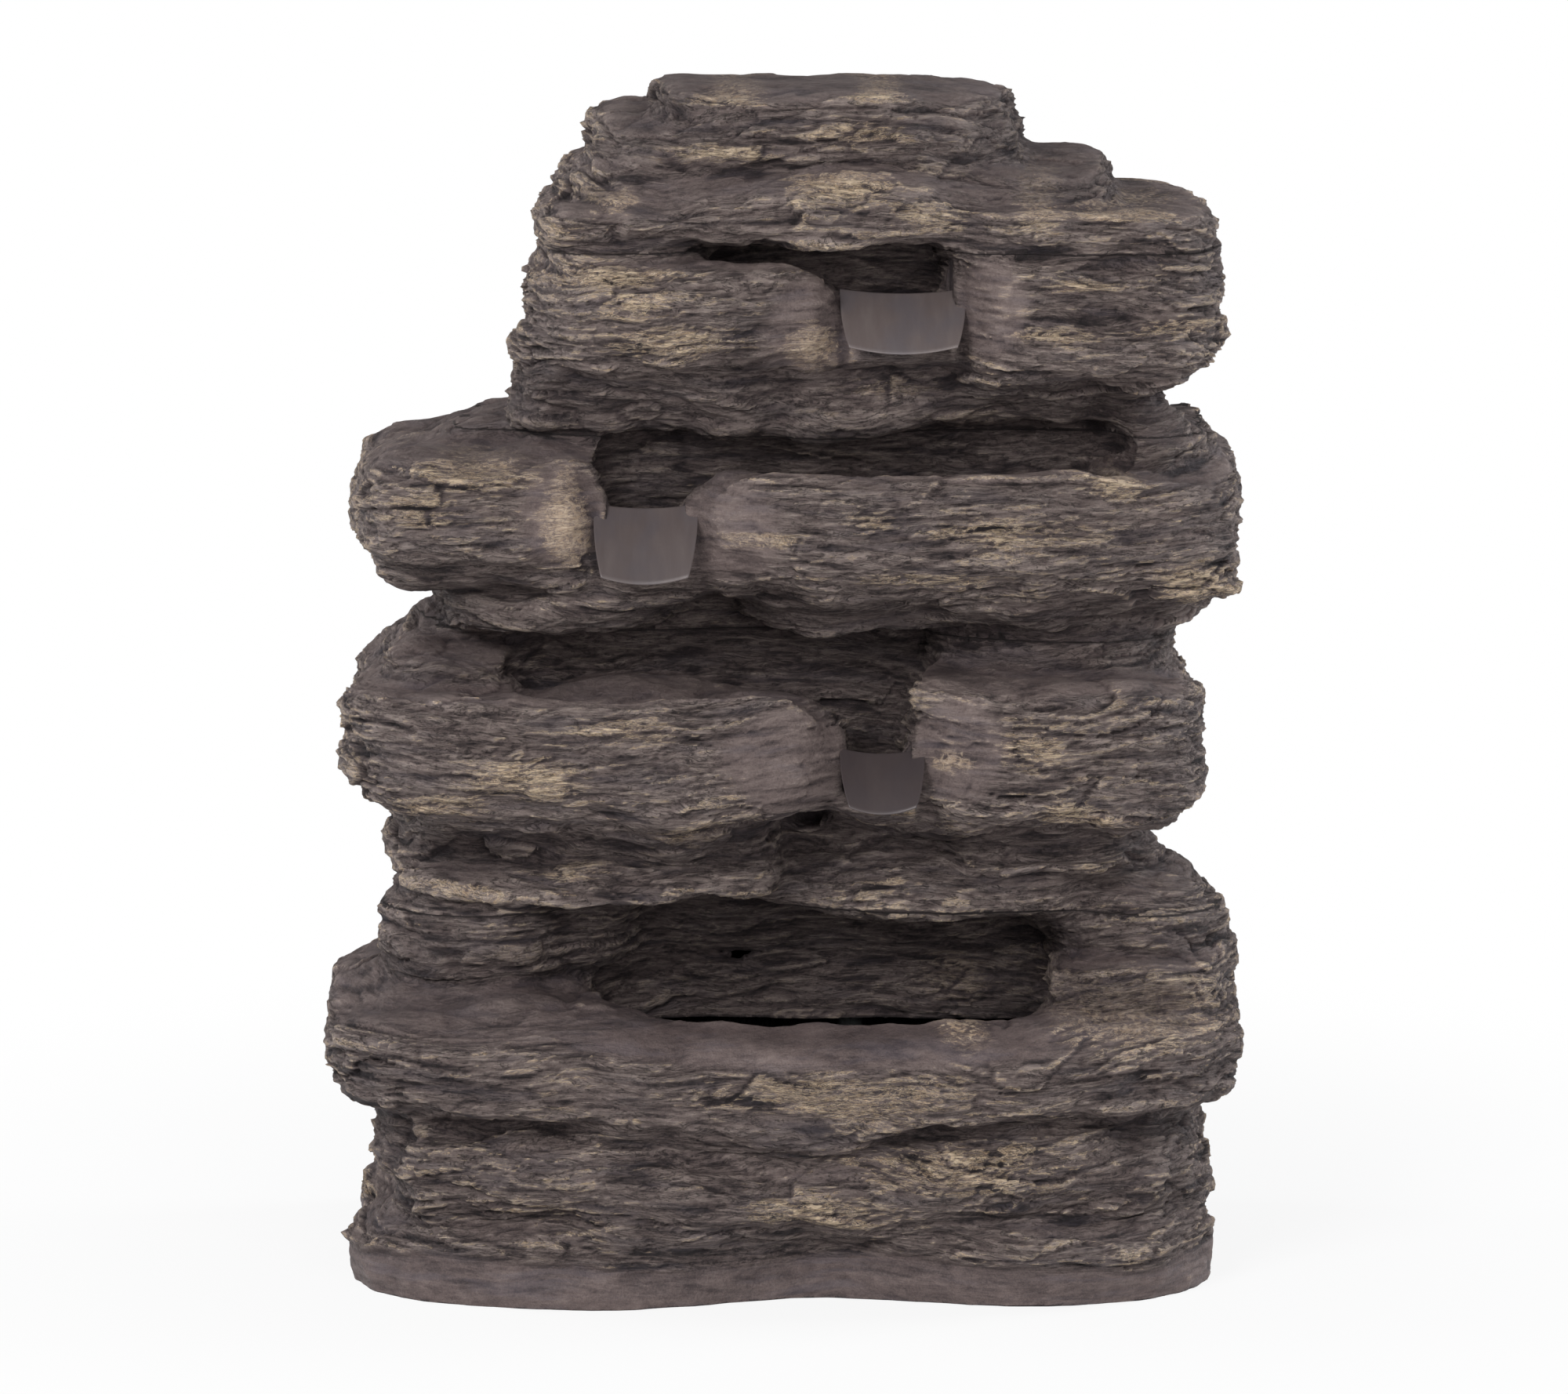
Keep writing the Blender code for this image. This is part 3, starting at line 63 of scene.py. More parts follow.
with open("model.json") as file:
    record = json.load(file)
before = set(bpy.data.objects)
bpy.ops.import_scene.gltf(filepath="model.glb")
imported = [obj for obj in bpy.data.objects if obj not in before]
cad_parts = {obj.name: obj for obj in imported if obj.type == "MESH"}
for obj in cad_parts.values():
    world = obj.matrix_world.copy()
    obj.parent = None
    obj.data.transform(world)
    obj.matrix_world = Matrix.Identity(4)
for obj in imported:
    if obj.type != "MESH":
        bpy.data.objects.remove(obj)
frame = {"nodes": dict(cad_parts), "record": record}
CAD_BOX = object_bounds()
BODY = "fountain"
MERGE = 1e-5


class Tier(NamedTuple):
    """One casting: its seat and deck heights, and the left, right, bottom and top of the hollow behind its pool."""

    node: str
    seat: float
    deck: float
    hollow: tuple


class Lobe(NamedTuple):
    """A rounded lump that runs neighbouring ledges together: its middle, its reach along each axis, its dip."""

    x: float
    y: float
    z: float
    wide: float
    deep: float
    tall: float
    dip: float = 0.0


def metres(*rows):
    """Rows of millimetres as rows of metres."""
    return tuple(tuple(value / 1000 for value in row) for row in rows)


def lobes(*rows):
    """Lumps from rows of millimetres. A row's last number, if it has seven, is its dip in thousandths of a radian."""
    return tuple(Lobe(*row) for row in metres(*rows))


TIERS = (
    Tier("base_reservoir", 0.0, 0.262, (-0.235, 0.235, 0.145, 0.248)),
    Tier("lower_tier_rock", 0.262, 0.452, (-0.238, 0.232, 0.252, 0.438)),
    Tier("middle_tier_rock", 0.452, 0.594, (-0.214, 0.250, 0.442, 0.580)),
    Tier("upper_tier_rock", 0.594, 0.727, (-0.142, 0.222, 0.584, 0.713)),
    Tier("cap_rock", 0.727, 0.836, (-0.112, 0.140, 0.717, 0.793)),
)
BACK_Y = 0.140
HOLLOW_FRONT = -0.008
HOLLOW_BACK = 0.122
HOLLOW_CORNER = 0.020
SEAM = 0.0003
CUT_PAST = 0.05
DOOR_GAP = 0.0015
DOOR_LAP = 0.016
DOOR_REBATE = 0.0113
DOOR_CORNER = 0.014
DRAIN_HOLE = 0.0093
GROMMET_HOLE = 0.0113
OUTLET_HOLE = 0.0073
OUTLET_WALL_FRONT = -0.040
SEAT_CLEARANCE = 0.0015
SEAT_DEPTH = 0.0033
POCKET_CLEARANCE = 0.0003
SHARP = math.radians(68)
DECK_HOLE = (-0.048, 0.108, 0.004, 0.110)
COLLAR_CLEARANCE = 0.0008
COLLAR_WALL = 0.009
COLLAR_HEIGHT = 0.008
COLLAR_ROOT = 0.007
RESERVOIR = (-0.262, 0.262, -0.176, 0.122, 0.015, 0.169)
RESERVOIR_FLOOR_ROUND = 0.014
MOUTH = (-0.132, 0.194, -0.158, -0.022, 0.140, 0.215)
MOUTH_FLOOR_ROUND = 0.004
MOUTH_CORNER = 3.0

# Fillers that close the hollows before the rock is roughened, in millimetres: left, right, front, back, bottom, top
FILLERS = metres(
    (-150, 212, -198, -32, 140, 198), (-266, 266, -180, 136, 8, 150),
    (-240, 240, -12, 136, 140, 268), (-242, 236, -12, 138, 256, 458),
    (-218, 254, -12, 136, 446, 600), (-146, 226, -12, 136, 588, 732),
    (-116, 144, -12, 136, 720, 798),
)

LOBES = lobes(
    (206, -46, 704, 98, 74, 60), (252, -50, 650, 52, 66, 30, -100),
    (-76, -50, 672, 112, 72, 42), (-110, -36, 628, 78, 68, 34, 100),
    (30, -40, 758, 150, 68, 30), (10, -22, 794, 128, 52, 30, 50),
    (140, -78, 528, 180, 72, 36, 60), (196, -50, 500, 112, 72, 40, 120),
    (-206, -70, 536, 88, 68, 40), (-128, -86, 378, 170, 84, 44, -60),
    (-150, -70, 326, 124, 80, 36, -100), (184, -80, 372, 88, 76, 44, 80),
    (0, -110, 154, 312, 108, 36), (20, -100, 92, 280, 108, 60),
    (-170, -110, 40, 130, 104, 36), (170, -110, 40, 130, 104, 36),
    (10, -66, 670, 50, 56, 36), (156, -66, 688, 38, 56, 40),
    (-22, -92, 534, 56, 56, 38, 100), (-168, -84, 546, 42, 54, 34),
    (-10, -118, 380, 60, 56, 44), (132, -112, 388, 40, 56, 40),
    (-216, -44, 244, 70, 78, 58), (-158, -30, 252, 62, 58, 44, 200),
    (250, -40, 250, 62, 80, 36), (218, -30, 280, 60, 60, 50),
    (246, -20, 604, 44, 62, 20, 300), (238, -40, 566, 36, 56, 16, -300),
)

# Dents that undercut the ledges, in the same form
DENTS = lobes(
    (-78, -156, 474, 60, 48, 42, -300), (34, -190, 326, 60, 40, 34, 200),
)

# Rounded ends of the ledges beside the chutes, in millimetres: middle and reach along each axis
NOSES = metres(
    (22, -104, 676, 52, 64, 46), (146, -104, 690, 34, 56, 46),
    (-44, -136, 536, 56, 64, 50), (-152, -126, 548, 42, 64, 50),
    (6, -162, 380, 70, 64, 50), (122, -156, 388, 42, 64, 48),
)
NOSE_ROUNDS = 70
BEAN_MIDDLE = 0.038
BEAN_REACH = 0.090
BEAN_DEPTH = 0.026
LOBE_SWELL = 0.004
RIM_EDGE = -0.152
RIM_TILT = 0.32
SCOOP_SCALE = 1.25
CHEEK_REACH = 0.034
CHEEK_ROUND = 0.018
CHEEK_DROP = 0.020

# Where the front is pushed back under the ledges, or forward if negative, in millimetres: middle x and z, reach
# across and up, depth
SCOOPS = metres(
    (-120, 608, 110, 26, 22), (0, 640, 50, 20, 12), (190, 612, 90, 20, 16),
    (240, 655, 80, 16, -6), (-100, 690, 90, 26, -8), (20, 778, 130, 10, 10),
    (-90, 728, 90, 9, 14), (215, 729, 70, 7, 8), (-230, 500, 80, 18, 22),
    (30, 468, 90, 22, 26), (190, 462, 110, 18, 20), (120, 520, 120, 22, -8),
    (-130, 300, 140, 20, 26), (-260, 300, 70, 20, 18), (60, 318, 60, 24, 20),
    (190, 318, 80, 18, 18), (-120, 360, 120, 22, -8), (-200, 126, 70, 16, 20),
    (-20, 112, 120, 16, 16), (170, 128, 110, 16, 18), (280, 112, 60, 18, 16),
    (-180, 58, 50, 12, 10), (220, 60, 80, 12, 10), (20, 78, 140, 16, -6),
)
RIM_SLOPE = (0.030, -0.196, 0.186, 0.230, 0.062, 0.022)

# Where the cream wash lies thickest from the front, in millimetres: middle x and z, reach across and up
WASH_PATCHES = metres(
    (-49, 794, 42, 8), (-124, 766, 25, 10), (53, 807, 38, 9), (68, 834, 22, 6),
    (-37, 833, 26, 8), (40, 771, 44, 9), (104, 783, 26, 4), (104, 752, 26, 10),
    (180, 764, 20, 18), (234, 757, 56, 5), (209, 705, 24, 6), (190, 672, 32, 6),
    (262, 676, 36, 6), (-102, 693, 24, 8), (-78, 669, 44, 14), (-119, 711, 46, 8),
    (22, 662, 22, 20), (74, 631, 44, 8), (132, 606, 32, 8), (-220, 575, 48, 12),
    (-250, 552, 26, 14), (-151, 540, 20, 34), (-15, 530, 34, 7), (59, 546, 18, 5),
    (166, 537, 58, 11), (234, 570, 20, 10), (104, 503, 54, 7), (286, 499, 26, 16),
    (-179, 368, 42, 15), (-238, 348, 32, 9), (-110, 402, 34, 8), (-62, 329, 24, 11),
    (-150, 297, 40, 12), (116, 378, 20, 9), (172, 388, 24, 14), (205, 340, 26, 12),
    (124, 199, 24, 18), (244, 204, 66, 26), (26, 152, 98, 18), (118, 98, 60, 16),
    (30, 68, 50, 12),
)

SKIN_VOXEL = 0.0042
FINE_VOXEL = 0.0031
UPWARD = 1.55
SKIN_RELAX = 20
# How far the rock runs on behind and below, so that its corners there stay crisp once it is cut flat
OVERRUN = 0.006
BACK_STRETCH = 3.5
CHUTES = ("upper_spill_chute", "middle_spill_chute", "lower_spill_chute")
CHUTE_CLEAR = 0.014
CHUTE_SHEET = 0.0014
CHUTE_TUCK = 0.006
CHUTE_DISH = 0.005
CHUTE_FLOOR = 0.0035
CHUTE_HEADROOM = 0.024
CHUTE_EDGE = 0.0006
CHEEK_RISE = 0.013
SOFT_EDGE = 0.006
GLOSS_DRIFT = 0.06


# Mesh helpers


def object_from(bm, name, finish=None):
    """Links a bmesh to the scene as an object, and frees it."""
    mesh = bpy.data.meshes.new(name)
    bm.to_mesh(mesh)
    bm.free()
    obj = bpy.data.objects.new(name, mesh)
    bpy.context.scene.collection.objects.link(obj)
    if finish:
        mesh.materials.append(finish)
    return obj


def bevel(bm, edges, width, steps, **more):
    bmesh.ops.bevel(bm, geom=edges, offset=width, segments=steps, profile=0.5, affect="EDGES", material=-1, **more)


def add_box(bm, left, right, front, back, bottom, top):
    size = Vector((right - left, back - front, top - bottom))
    centre = Vector((left + right, front + back, bottom + top)) / 2
    bmesh.ops.create_cube(bm, size=1.0, matrix=Matrix.Translation(centre) @ Matrix.Diagonal((*size, 1.0)))


def block(name, *sides, corner=0.0, along=2, steps=4):
    """A box from its left, right, front, back, bottom and top, with the four edges along one axis rounded."""
    bm = bmesh.new()
    add_box(bm, *sides)
    if corner:
        kept = [e for e in bm.edges if abs((e.verts[0].co - e.verts[1].co).normalized()[along]) > 0.99]
        bevel(bm, kept, corner, steps)
    return object_from(bm, name)


def cylinder(name, radius, start, end, segments=48):
    """A cylinder from the point start to the point end."""
    start, end = Vector(start), Vector(end)
    line = end - start
    turn = line.to_track_quat("Z", "Y").to_matrix().to_4x4()
    bm = bmesh.new()
    bmesh.ops.create_cone(
        bm,
        cap_ends=True,
        segments=segments,
        radius1=radius,
        radius2=radius,
        depth=line.length,
        matrix=Matrix.Translation((start + end) / 2) @ turn,
    )
    return object_from(bm, name)


def bowl(name, left, right, front, back, floor, rim, round_floor, corner=3.4, segments=96):
    """A squared oval pit with a rounded floor."""
    bm = bmesh.new()
    bmesh.ops.create_circle(bm, cap_ends=True, radius=1.0, segments=segments)
    levels = []
    for degrees in (0, 20, 40, 65, 90):
        angle = math.radians(degrees)
        levels.append((floor + round_floor * (1 - math.cos(angle)), round_floor * (1 - math.sin(angle))))
    levels.append((rim, 0.0))
    ring = list(bm.edges)
    for level in range(1, len(levels)):
        grown = bmesh.ops.extrude_edge_only(bm, edges=ring)["geom"]
        corners = [part for part in grown if isinstance(part, bmesh.types.BMVert)]
        bmesh.ops.translate(bm, verts=corners, vec=(0.0, 0.0, 1.0))
        ring = [edge for edge in bm.edges if all(vert.co.z > level - 0.5 for vert in edge.verts)]
    bmesh.ops.contextual_create(bm, geom=ring)
    centre_x, half_width = (left + right) / 2, (right - left) / 2
    split = back - 0.25 * (back - front)
    for vert in bm.verts:
        height, inset = levels[round(vert.co.z)]
        angle = math.atan2(vert.co.y, vert.co.x)
        across, along = math.cos(angle), math.sin(angle)
        power = 2 / (corner if along < 0 else 6.0)
        reach = (split - front if along < 0 else back - split) - inset
        x = centre_x + (half_width - inset) * math.copysign(abs(across) ** power, across)
        vert.co = (x, split + reach * math.copysign(abs(along) ** power, along), height)
    bmesh.ops.recalc_face_normals(bm, faces=bm.faces)
    return object_from(bm, name)


def apply_modifiers(obj):
    """Keeps what the object's modifiers make as its own mesh."""
    graph = bpy.context.evaluated_depsgraph_get()
    made = bpy.data.meshes.new_from_object(obj.evaluated_get(graph))
    obj.modifiers.clear()
    old = obj.data
    obj.data = made
    made.name = obj.name
    bpy.data.meshes.remove(old)
    return obj


def combine(obj, other, operation):
    """A Boolean with another closed object, which is removed."""
    step = obj.modifiers.new("combine", "BOOLEAN")
    step.solver = "MANIFOLD"
    step.operation = operation
    step.object = other
    apply_modifiers(obj)
    bpy.data.objects.remove(other, do_unlink=True)
    return obj


def remesh(obj, voxel):
    step = obj.modifiers.new("skin", "REMESH")
    step.mode = "VOXEL"
    step.voxel_size = voxel
    step.adaptivity = 0.0
    return apply_modifiers(obj)


def relax(obj, factor, times):
    """Evens out a mesh's points without remeshing it."""
    step = obj.modifiers.new("relax", "SMOOTH")
    step.factor = factor
    step.iterations = times
    return apply_modifiers(obj)


def read(parts, name, width, kind=np.float32):
    """One property of all of a mesh's points or edges, a row for each."""
    values = np.empty(len(parts) * width, kind)
    parts.foreach_get(name, values)
    return values.reshape(-1, width)


def read_points(obj):
    return read(obj.data.vertices, "co", 3).astype(float)


def read_normals(obj):
    return read(obj.data.vertex_normals, "vector", 3).astype(float)


def read_edges(obj):
    return read(obj.data.edges, "vertices", 2, np.int32)


def write_points(obj, points):
    obj.data.vertices.foreach_set("co", points.astype(np.float32).ravel())
    obj.data.update()


def keep_largest(obj):
    """Removes every island but the one with the most faces."""
    bm = bmesh.new()
    bm.from_mesh(obj.data)
    seen, best = set(), []
    for start in bm.verts:
        if start in seen:
            continue
        island, stack = [], [start]
        seen.add(start)
        while stack:
            vert = stack.pop()
            island.append(vert)
            for edge in vert.link_edges:
                other = edge.other_vert(vert)
                if other not in seen:
                    seen.add(other)
                    stack.append(other)
        if len(island) > len(best):
            best = island
    kept = set(best)
    bmesh.ops.delete(bm, geom=[vert for vert in bm.verts if vert not in kept], context="VERTS")
    bm.to_mesh(obj.data)
    bm.free()
    return obj


# Noise, as arrays


NOISE_TABLE = 256
_random = np.random.default_rng(7)
SHUFFLE = _random.permutation(NOISE_TABLE)
GRADIENTS = _random.normal(size=(NOISE_TABLE, 3))
GRADIENTS /= np.linalg.norm(GRADIENTS, axis=1)[:, None]


def cell_keys(cells, salt=0):
    """A shuffled number for each cell of a grid."""
    keys = SHUFFLE[(cells[:, 0] + salt) % NOISE_TABLE]
    for axis in (1, 2):
        keys = SHUFFLE[(keys + cells[:, axis]) % NOISE_TABLE]
    return keys


def noise(points, *scale, shift=0.0):
    """Smooth noise from about -1 to 1, at points stretched by a scale along each axis."""
    spots = points * np.array(scale) + shift
    cell = np.floor(spots).astype(np.int64)
    part = spots - cell
    fade = part**3 * (part * (part * 6 - 15) + 10)
    total = np.zeros(len(spots))
    for corner in np.ndindex(2, 2, 2):
        weight = np.prod(np.where(corner, fade, 1 - fade), axis=1)
        total += weight * np.einsum("ij,ij->i", GRADIENTS[cell_keys(cell + corner)], part - corner)
    return total * 1.6


def layers(points, *rows):
    """A sum of noises, each from its height, its scale along each axis and its shift."""
    return sum(height * noise(points, *scale, shift=shift) for height, *scale, shift in rows)


def crack(values, width):
    """1 along the lines where the noise crosses zero, falling to 0 over a width."""
    return np.exp(-((values / width) ** 2))


def step_between(low, high, values):
    share = np.clip((values - low) / (high - low), 0, 1)
    return share * share * (3 - 2 * share)


# Rock


def bedding(points):
    """The points with their height bent, so that level lines on them follow the strata."""
    bent = points.copy()
    bent[:, 2] += layers(points, (0.010, 5, 5, 9, 0.0), (0.0035, 16, 16, 24, 31.7))
    bent[:, 2] += 0.035 * points[:, 0] * noise(points, 2, 2, 5, shift=4.4)
    return bent


def hashed(cells, salt):
    """A value from -1 to 1 for each whole number, with no pattern."""
    return SHUFFLE[(cells.astype(np.int64) * 7 + salt) % NOISE_TABLE] / (NOISE_TABLE / 2) - 1


def sheets(points, bent, thickness, salt):
    """Stacked sheets of rock. Each stands out by its own amount, which drifts along it, and splits part them."""
    level = bent[:, 2] / thickness
    level = level + 0.85 * noise(points, 7, 7, 16, shift=salt) + 0.40 * noise(points, 24, 24, 34, shift=salt + 5)
    sheet = np.floor(level)
    part = level - sheet

    def reach(which):
        along = points.copy()
        along[:, 2] = which * 3.71
        drift = layers(along, (1.0, 11, 11, 1, salt + 11.0), (0.5, 31, 31, 1, salt + 2.0))
        return 0.45 * hashed(which, salt) + 0.80 * drift

    share = step_between(0.82, 1.0, part)
    lean = 0.55 * (0.5 - part) * noise(points, 5, 5, 18, shift=salt + 3.0)
    split = np.exp(-(((part - 0.90) / 0.10) ** 2))
    split *= step_between(-0.25, 0.35, noise(points, 9, 9, 30, shift=salt + 7.0))
    return reach(sheet) * (1 - share) + reach(sheet + 1) * share + lean, split


def flakes(points, bent, wide, tall, salt):
    """Overlapping flakes of slate. Each stands out and leans by its own amount, and a split runs round it."""
    spots = np.stack([points[:, 0] / wide, points[:, 1] / wide, bent[:, 2] / tall], axis=1)
    bend = np.stack([noise(points, 13, 13, 30, shift=salt + 20.0 * axis) for axis in range(3)], axis=1)
    spots += bend * (0.45, 0.45, 0.80)
    cell = np.floor(spots).astype(np.int64)
    nearest = np.full(len(spots), 9.0)
    second = nearest.copy()
    stand = np.zeros(len(spots))
    for corner in np.ndindex(3, 3, 3):
        other = cell + np.array(corner) - 1
        key = cell_keys(other, salt)
        away = spots - (other + 0.5 + 0.42 * GRADIENTS[key])
        distance = np.linalg.norm(away, axis=1)
        closer = distance < nearest
        second = np.where(closer, nearest, np.minimum(second, distance))
        nearest = np.where(closer, distance, nearest)
        own = GRADIENTS[(key + 91) % NOISE_TABLE]
        raised = 0.75 * own[:, 0] + 0.95 * own[:, 1] * away[:, 2] + 0.55 * own[:, 2] * away[:, 0]
        stand = np.where(closer, raised, stand)
    return stand, np.exp(-(((second - nearest) / 0.10) ** 2))


def near_any(points, places):
    """1 at the middle of the nearest of the rounded places, falling to 0 at their edges."""
    best = np.zeros(len(points))
    for x, y, z, wide, deep, tall in places:
        away = (points - (x, y, z)) / (wide, deep, tall)
        best = np.maximum(best, 1 - step_between(0.60, 1.0, np.linalg.norm(away, axis=1)))
    return best


def calm_ground(points, normals):
    """1 where the casting is smooth: ledge tops, the basin's rim, its foot and the ends beside the chutes."""
    tops = 0.60 * step_between(0.62, 0.93, normals[:, 2])
    wave = 0.030 + 0.010 * noise(points, 7, 7, 1, shift=51.0) + 0.003 * noise(points, 30, 30, 1, shift=53.0)
    foot = 1 - step_between(-0.003, 0.003, points[:, 2] - wave)
    rim = near_any(points, (RIM_SLOPE,))
    noses = 0.75 * near_any(points, NOSES)
    return np.clip(np.maximum(np.maximum(tops, foot), np.maximum(rim, noses)), 0, 1)


def strata_relief(points, normals, calm):
    """How far each point of the rock stands out along its normal, in metres."""
    bent = bedding(points)
    thick, thick_split = sheets(points, bent, 0.0210, 3)
    thin, thin_split = sheets(points, bent, 0.0062, 40)
    broad, broad_split = flakes(points, bent, 0.075, 0.0170, 11)
    small, small_split = flakes(points, bent, 0.026, 0.0066, 57)
    fibres = 1 - 2 * np.abs(noise(bent, 30, 30, 230, shift=3.3))
    tilted = bent.copy()
    tilted[:, 2] += 0.12 * bent[:, 0]
    splits = crack(noise(tilted, 7, 7, 46, shift=17.0), 0.06)
    splits *= step_between(0.1, 0.35, noise(points, 6, 6, 12, shift=19))
    tilted[:, 2] -= 0.26 * bent[:, 0]
    across = crack(noise(tilted, 9, 9, 58, shift=27.0), 0.06)
    splits += across * step_between(0.1, 0.35, noise(points, 7, 7, 14, shift=29))
    broken = step_between(-0.35, 0.35, noise(points, 8, 8, 17, shift=81.0))
    sideways = 1 + 0.7 * np.abs(normals[:, 0]) ** 2
    stone = 0.0032 * thick + (0.0010 + 0.0022 * broken) * broad + 0.0011 * thin + 0.0011 * small + 0.0010 * fibres
    stone -= 0.0011 * thick_split + 0.0014 * broken * broad_split + 0.0006 * thin_split + 0.0006 * small_split
    stone -= 0.0018 * splits
    swell = layers(points, (0.0075, 7, 7, 13, 41.0), (0.0032, 22, 22, 36, 43.0))
    pitted = layers(points, (0.0006, 90, 90, 110, 5.0), (0.0012, 34, 34, 50, 6.0))
    rough = 1 - 0.85 * calm
    return swell * (1 - 0.5 * calm) + stone * sideways * rough + pitted * calm


def chute_clearance(points, reach):
    """0 at the chutes, rising to 1 a little way from them."""
    clear = np.ones(len(points))
    for node in CHUTES:
        low, high = (np.array(corner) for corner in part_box(node))
        outside = np.maximum(np.maximum(low - points, points - high), 0)
        clear = np.minimum(clear, step_between(0.002, reach, np.linalg.norm(outside, axis=1)))
    return clear


def lump(bm, lobe):
    """Adds a rounded lump to a bmesh."""
    place = Matrix.Translation((lobe.x, lobe.y, lobe.z)) @ Matrix.Rotation(lobe.dip, 4, "Y")
    size = Matrix.Diagonal((lobe.wide, lobe.deep, lobe.tall, 1.0))
    bmesh.ops.create_icosphere(bm, subdivisions=4, radius=1.0, matrix=place @ size)


def wander(points):
    """Bends the ledges' straight edges into uneven ones, away from the chutes, the back and the ground."""
    rows = (
        ((0.006, 9, 9, 22, 61.0), (0.0025, 28, 28, 60, 62.0)),
        ((0.006, 9, 9, 18, 63.0), (0.0025, 28, 28, 60, 64.0)),
        ((0.007, 8, 8, 9, 65.0), (0.0030, 24, 24, 30, 66.0)),
    )
    drift = np.stack([layers(points, *row) for row in rows], axis=1)
    hold = chute_clearance(points, 3 * CHUTE_CLEAR)
    hold *= 1 - step_between(BACK_Y - 0.03, BACK_Y - 0.008, points[:, 1])
    hold *= step_between(0.002, 0.020, points[:, 2])
    return points + drift * hold[:, None]


def shape_base(points):
    """Bends the base: its front dips back midway, its rim slopes forward and its sides are drawn in."""
    x, y, z = points.T
    front = step_between(-0.06, -0.15, y)
    midway = np.exp(-(((x - BEAN_MIDDLE) / BEAN_REACH) ** 2))
    y += front * (1 - step_between(0.010, 0.080, z)) * (BEAN_DEPTH * midway - LOBE_SWELL)
    z -= RIM_TILT * np.maximum(RIM_EDGE - y, 0) * step_between(0.110, 0.175, z) * (1 - step_between(0.205, 0.230, z))
    drawn = 0.016 * np.exp(-(((z - 0.055) / 0.014) ** 2)) * (x < 0) + 0.010 * np.exp(-(((z - 0.116) / 0.014) ** 2))
    x -= np.sign(x) * drawn * step_between(0.18, 0.26, np.abs(x))
    return np.stack([x, y, z], axis=1)


def scoop(points):
    """Rounds the ledges' fronts: pushes them back under each ledge and out at its middle, away from the chutes."""
    x, y, z = points.T
    push = np.zeros(len(points))
    drop = np.zeros(len(points))
    for middle, height, across, up, depth in SCOOPS:
        sag = height + 0.010 * noise(np.stack([x, x * 0, z * 0 + depth], axis=1), 11, 1, 90)
        push += SCOOP_SCALE * depth * np.exp(-(((x - middle) / across) ** 4) - ((z - sag) / up) ** 2)
    push *= chute_clearance(points, 1.3 * CHUTE_CLEAR)
    for node in CHUTES:
        low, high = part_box(node)
        beside = np.clip(np.maximum(low.x - x, x - high.x), 0, CHEEK_REACH) / CHEEK_REACH
        level = step_between(low.z - 0.05, low.z - 0.02, z) * (1 - step_between(high.z + 0.012, high.z + 0.026, z))
        outside = step_between(-0.002, 0.003, np.maximum(low.x - x, x - high.x))
        outside = np.maximum(outside, 1 - step_between(low.z - 0.014, low.z - 0.004, z))
        push += CHEEK_ROUND * (1 - beside) ** 2 * level * outside * step_between(high.y, low.y + 0.02, y)
        left = np.clip(low.x - x, 0, CHEEK_REACH) / CHEEK_REACH
        crown = step_between(high.z - 0.024, high.z, z) * (1 - step_between(high.z + 0.016, high.z + 0.026, z))
        drop += CHEEK_DROP * (1 - left) ** 2 * crown * (x < low.x) * step_between(high.y, low.y + 0.02, y)
    push *= step_between(0.0, -0.06, y)
    return np.stack([x, y + push, z - drop], axis=1)


def fused_rock():
    """The castings as one closed skin, with their hollows filled and their ledges run together."""
    bm = bmesh.new()
    for tier in TIERS:
        bm.from_mesh(frame["nodes"][tier.node].data)
    bmesh.ops.remove_doubles(bm, verts=bm.verts, dist=MERGE)
    for filler in FILLERS:
        add_box(bm, *filler)
    for lobe in LOBES:
        lump(bm, lobe)
    rock = object_from(bm, "rock")
    remesh(rock, SKIN_VOXEL)
    keep_largest(rock)
    combine(rock, bowl("mouth", *MOUTH, MOUTH_FLOOR_ROUND, MOUTH_CORNER), "DIFFERENCE")
    for dent in DENTS:
        bm = bmesh.new()
        lump(bm, dent)
        combine(rock, object_from(bm, "dent"), "DIFFERENCE")
    remesh(rock, SKIN_VOXEL)
    points = read_points(rock)
    near_back = points[:, 1] > BACK_Y - OVERRUN
    points[near_back, 1] = BACK_Y - OVERRUN + (points[near_back, 1] - BACK_Y + OVERRUN) * BACK_STRETCH
    near_ground = points[:, 2] < OVERRUN / 2
    points[near_ground, 2] -= OVERRUN
    write_points(rock, points)
    relax(rock, 0.5, SKIN_RELAX)
    points = read_points(rock)
    share = near_any(points, NOSES)[:, None]
    points += (spread(points, read_edges(rock), NOSE_ROUNDS) - points) * share
    write_points(rock, wander(shape_base(scoop(points))))
    return rock


def ease_below(values, limit, reach):
    """Holds values under a limit, bending them smoothly over the last stretch."""
    start = limit - reach
    over = np.maximum(values - start, 0)
    return np.where(values > start, start + reach * (1 - np.exp(-over / reach)), values)


def keep_inside(points):
    """Holds points inside the frame's box, except behind and below, where the rock is cut flat later."""
    for axis, corner, way in ((0, 1, 1), (0, 0, -1), (1, 0, -1), (2, 1, 1)):
        points[:, axis] = way * ease_below(way * points[:, axis], way * CAD_BOX[corner][axis], SOFT_EDGE)
    return points


def stretch(obj, times):
    obj.data.transform(Matrix.Diagonal((1.0, 1.0, times, 1.0)))


def mark(obj, name, values):
    """Stores a value for each point as an attribute."""
    made = obj.data.attributes.new(name, "FLOAT", "POINT")
    made.data.foreach_set("value", np.asarray(values, np.float32))


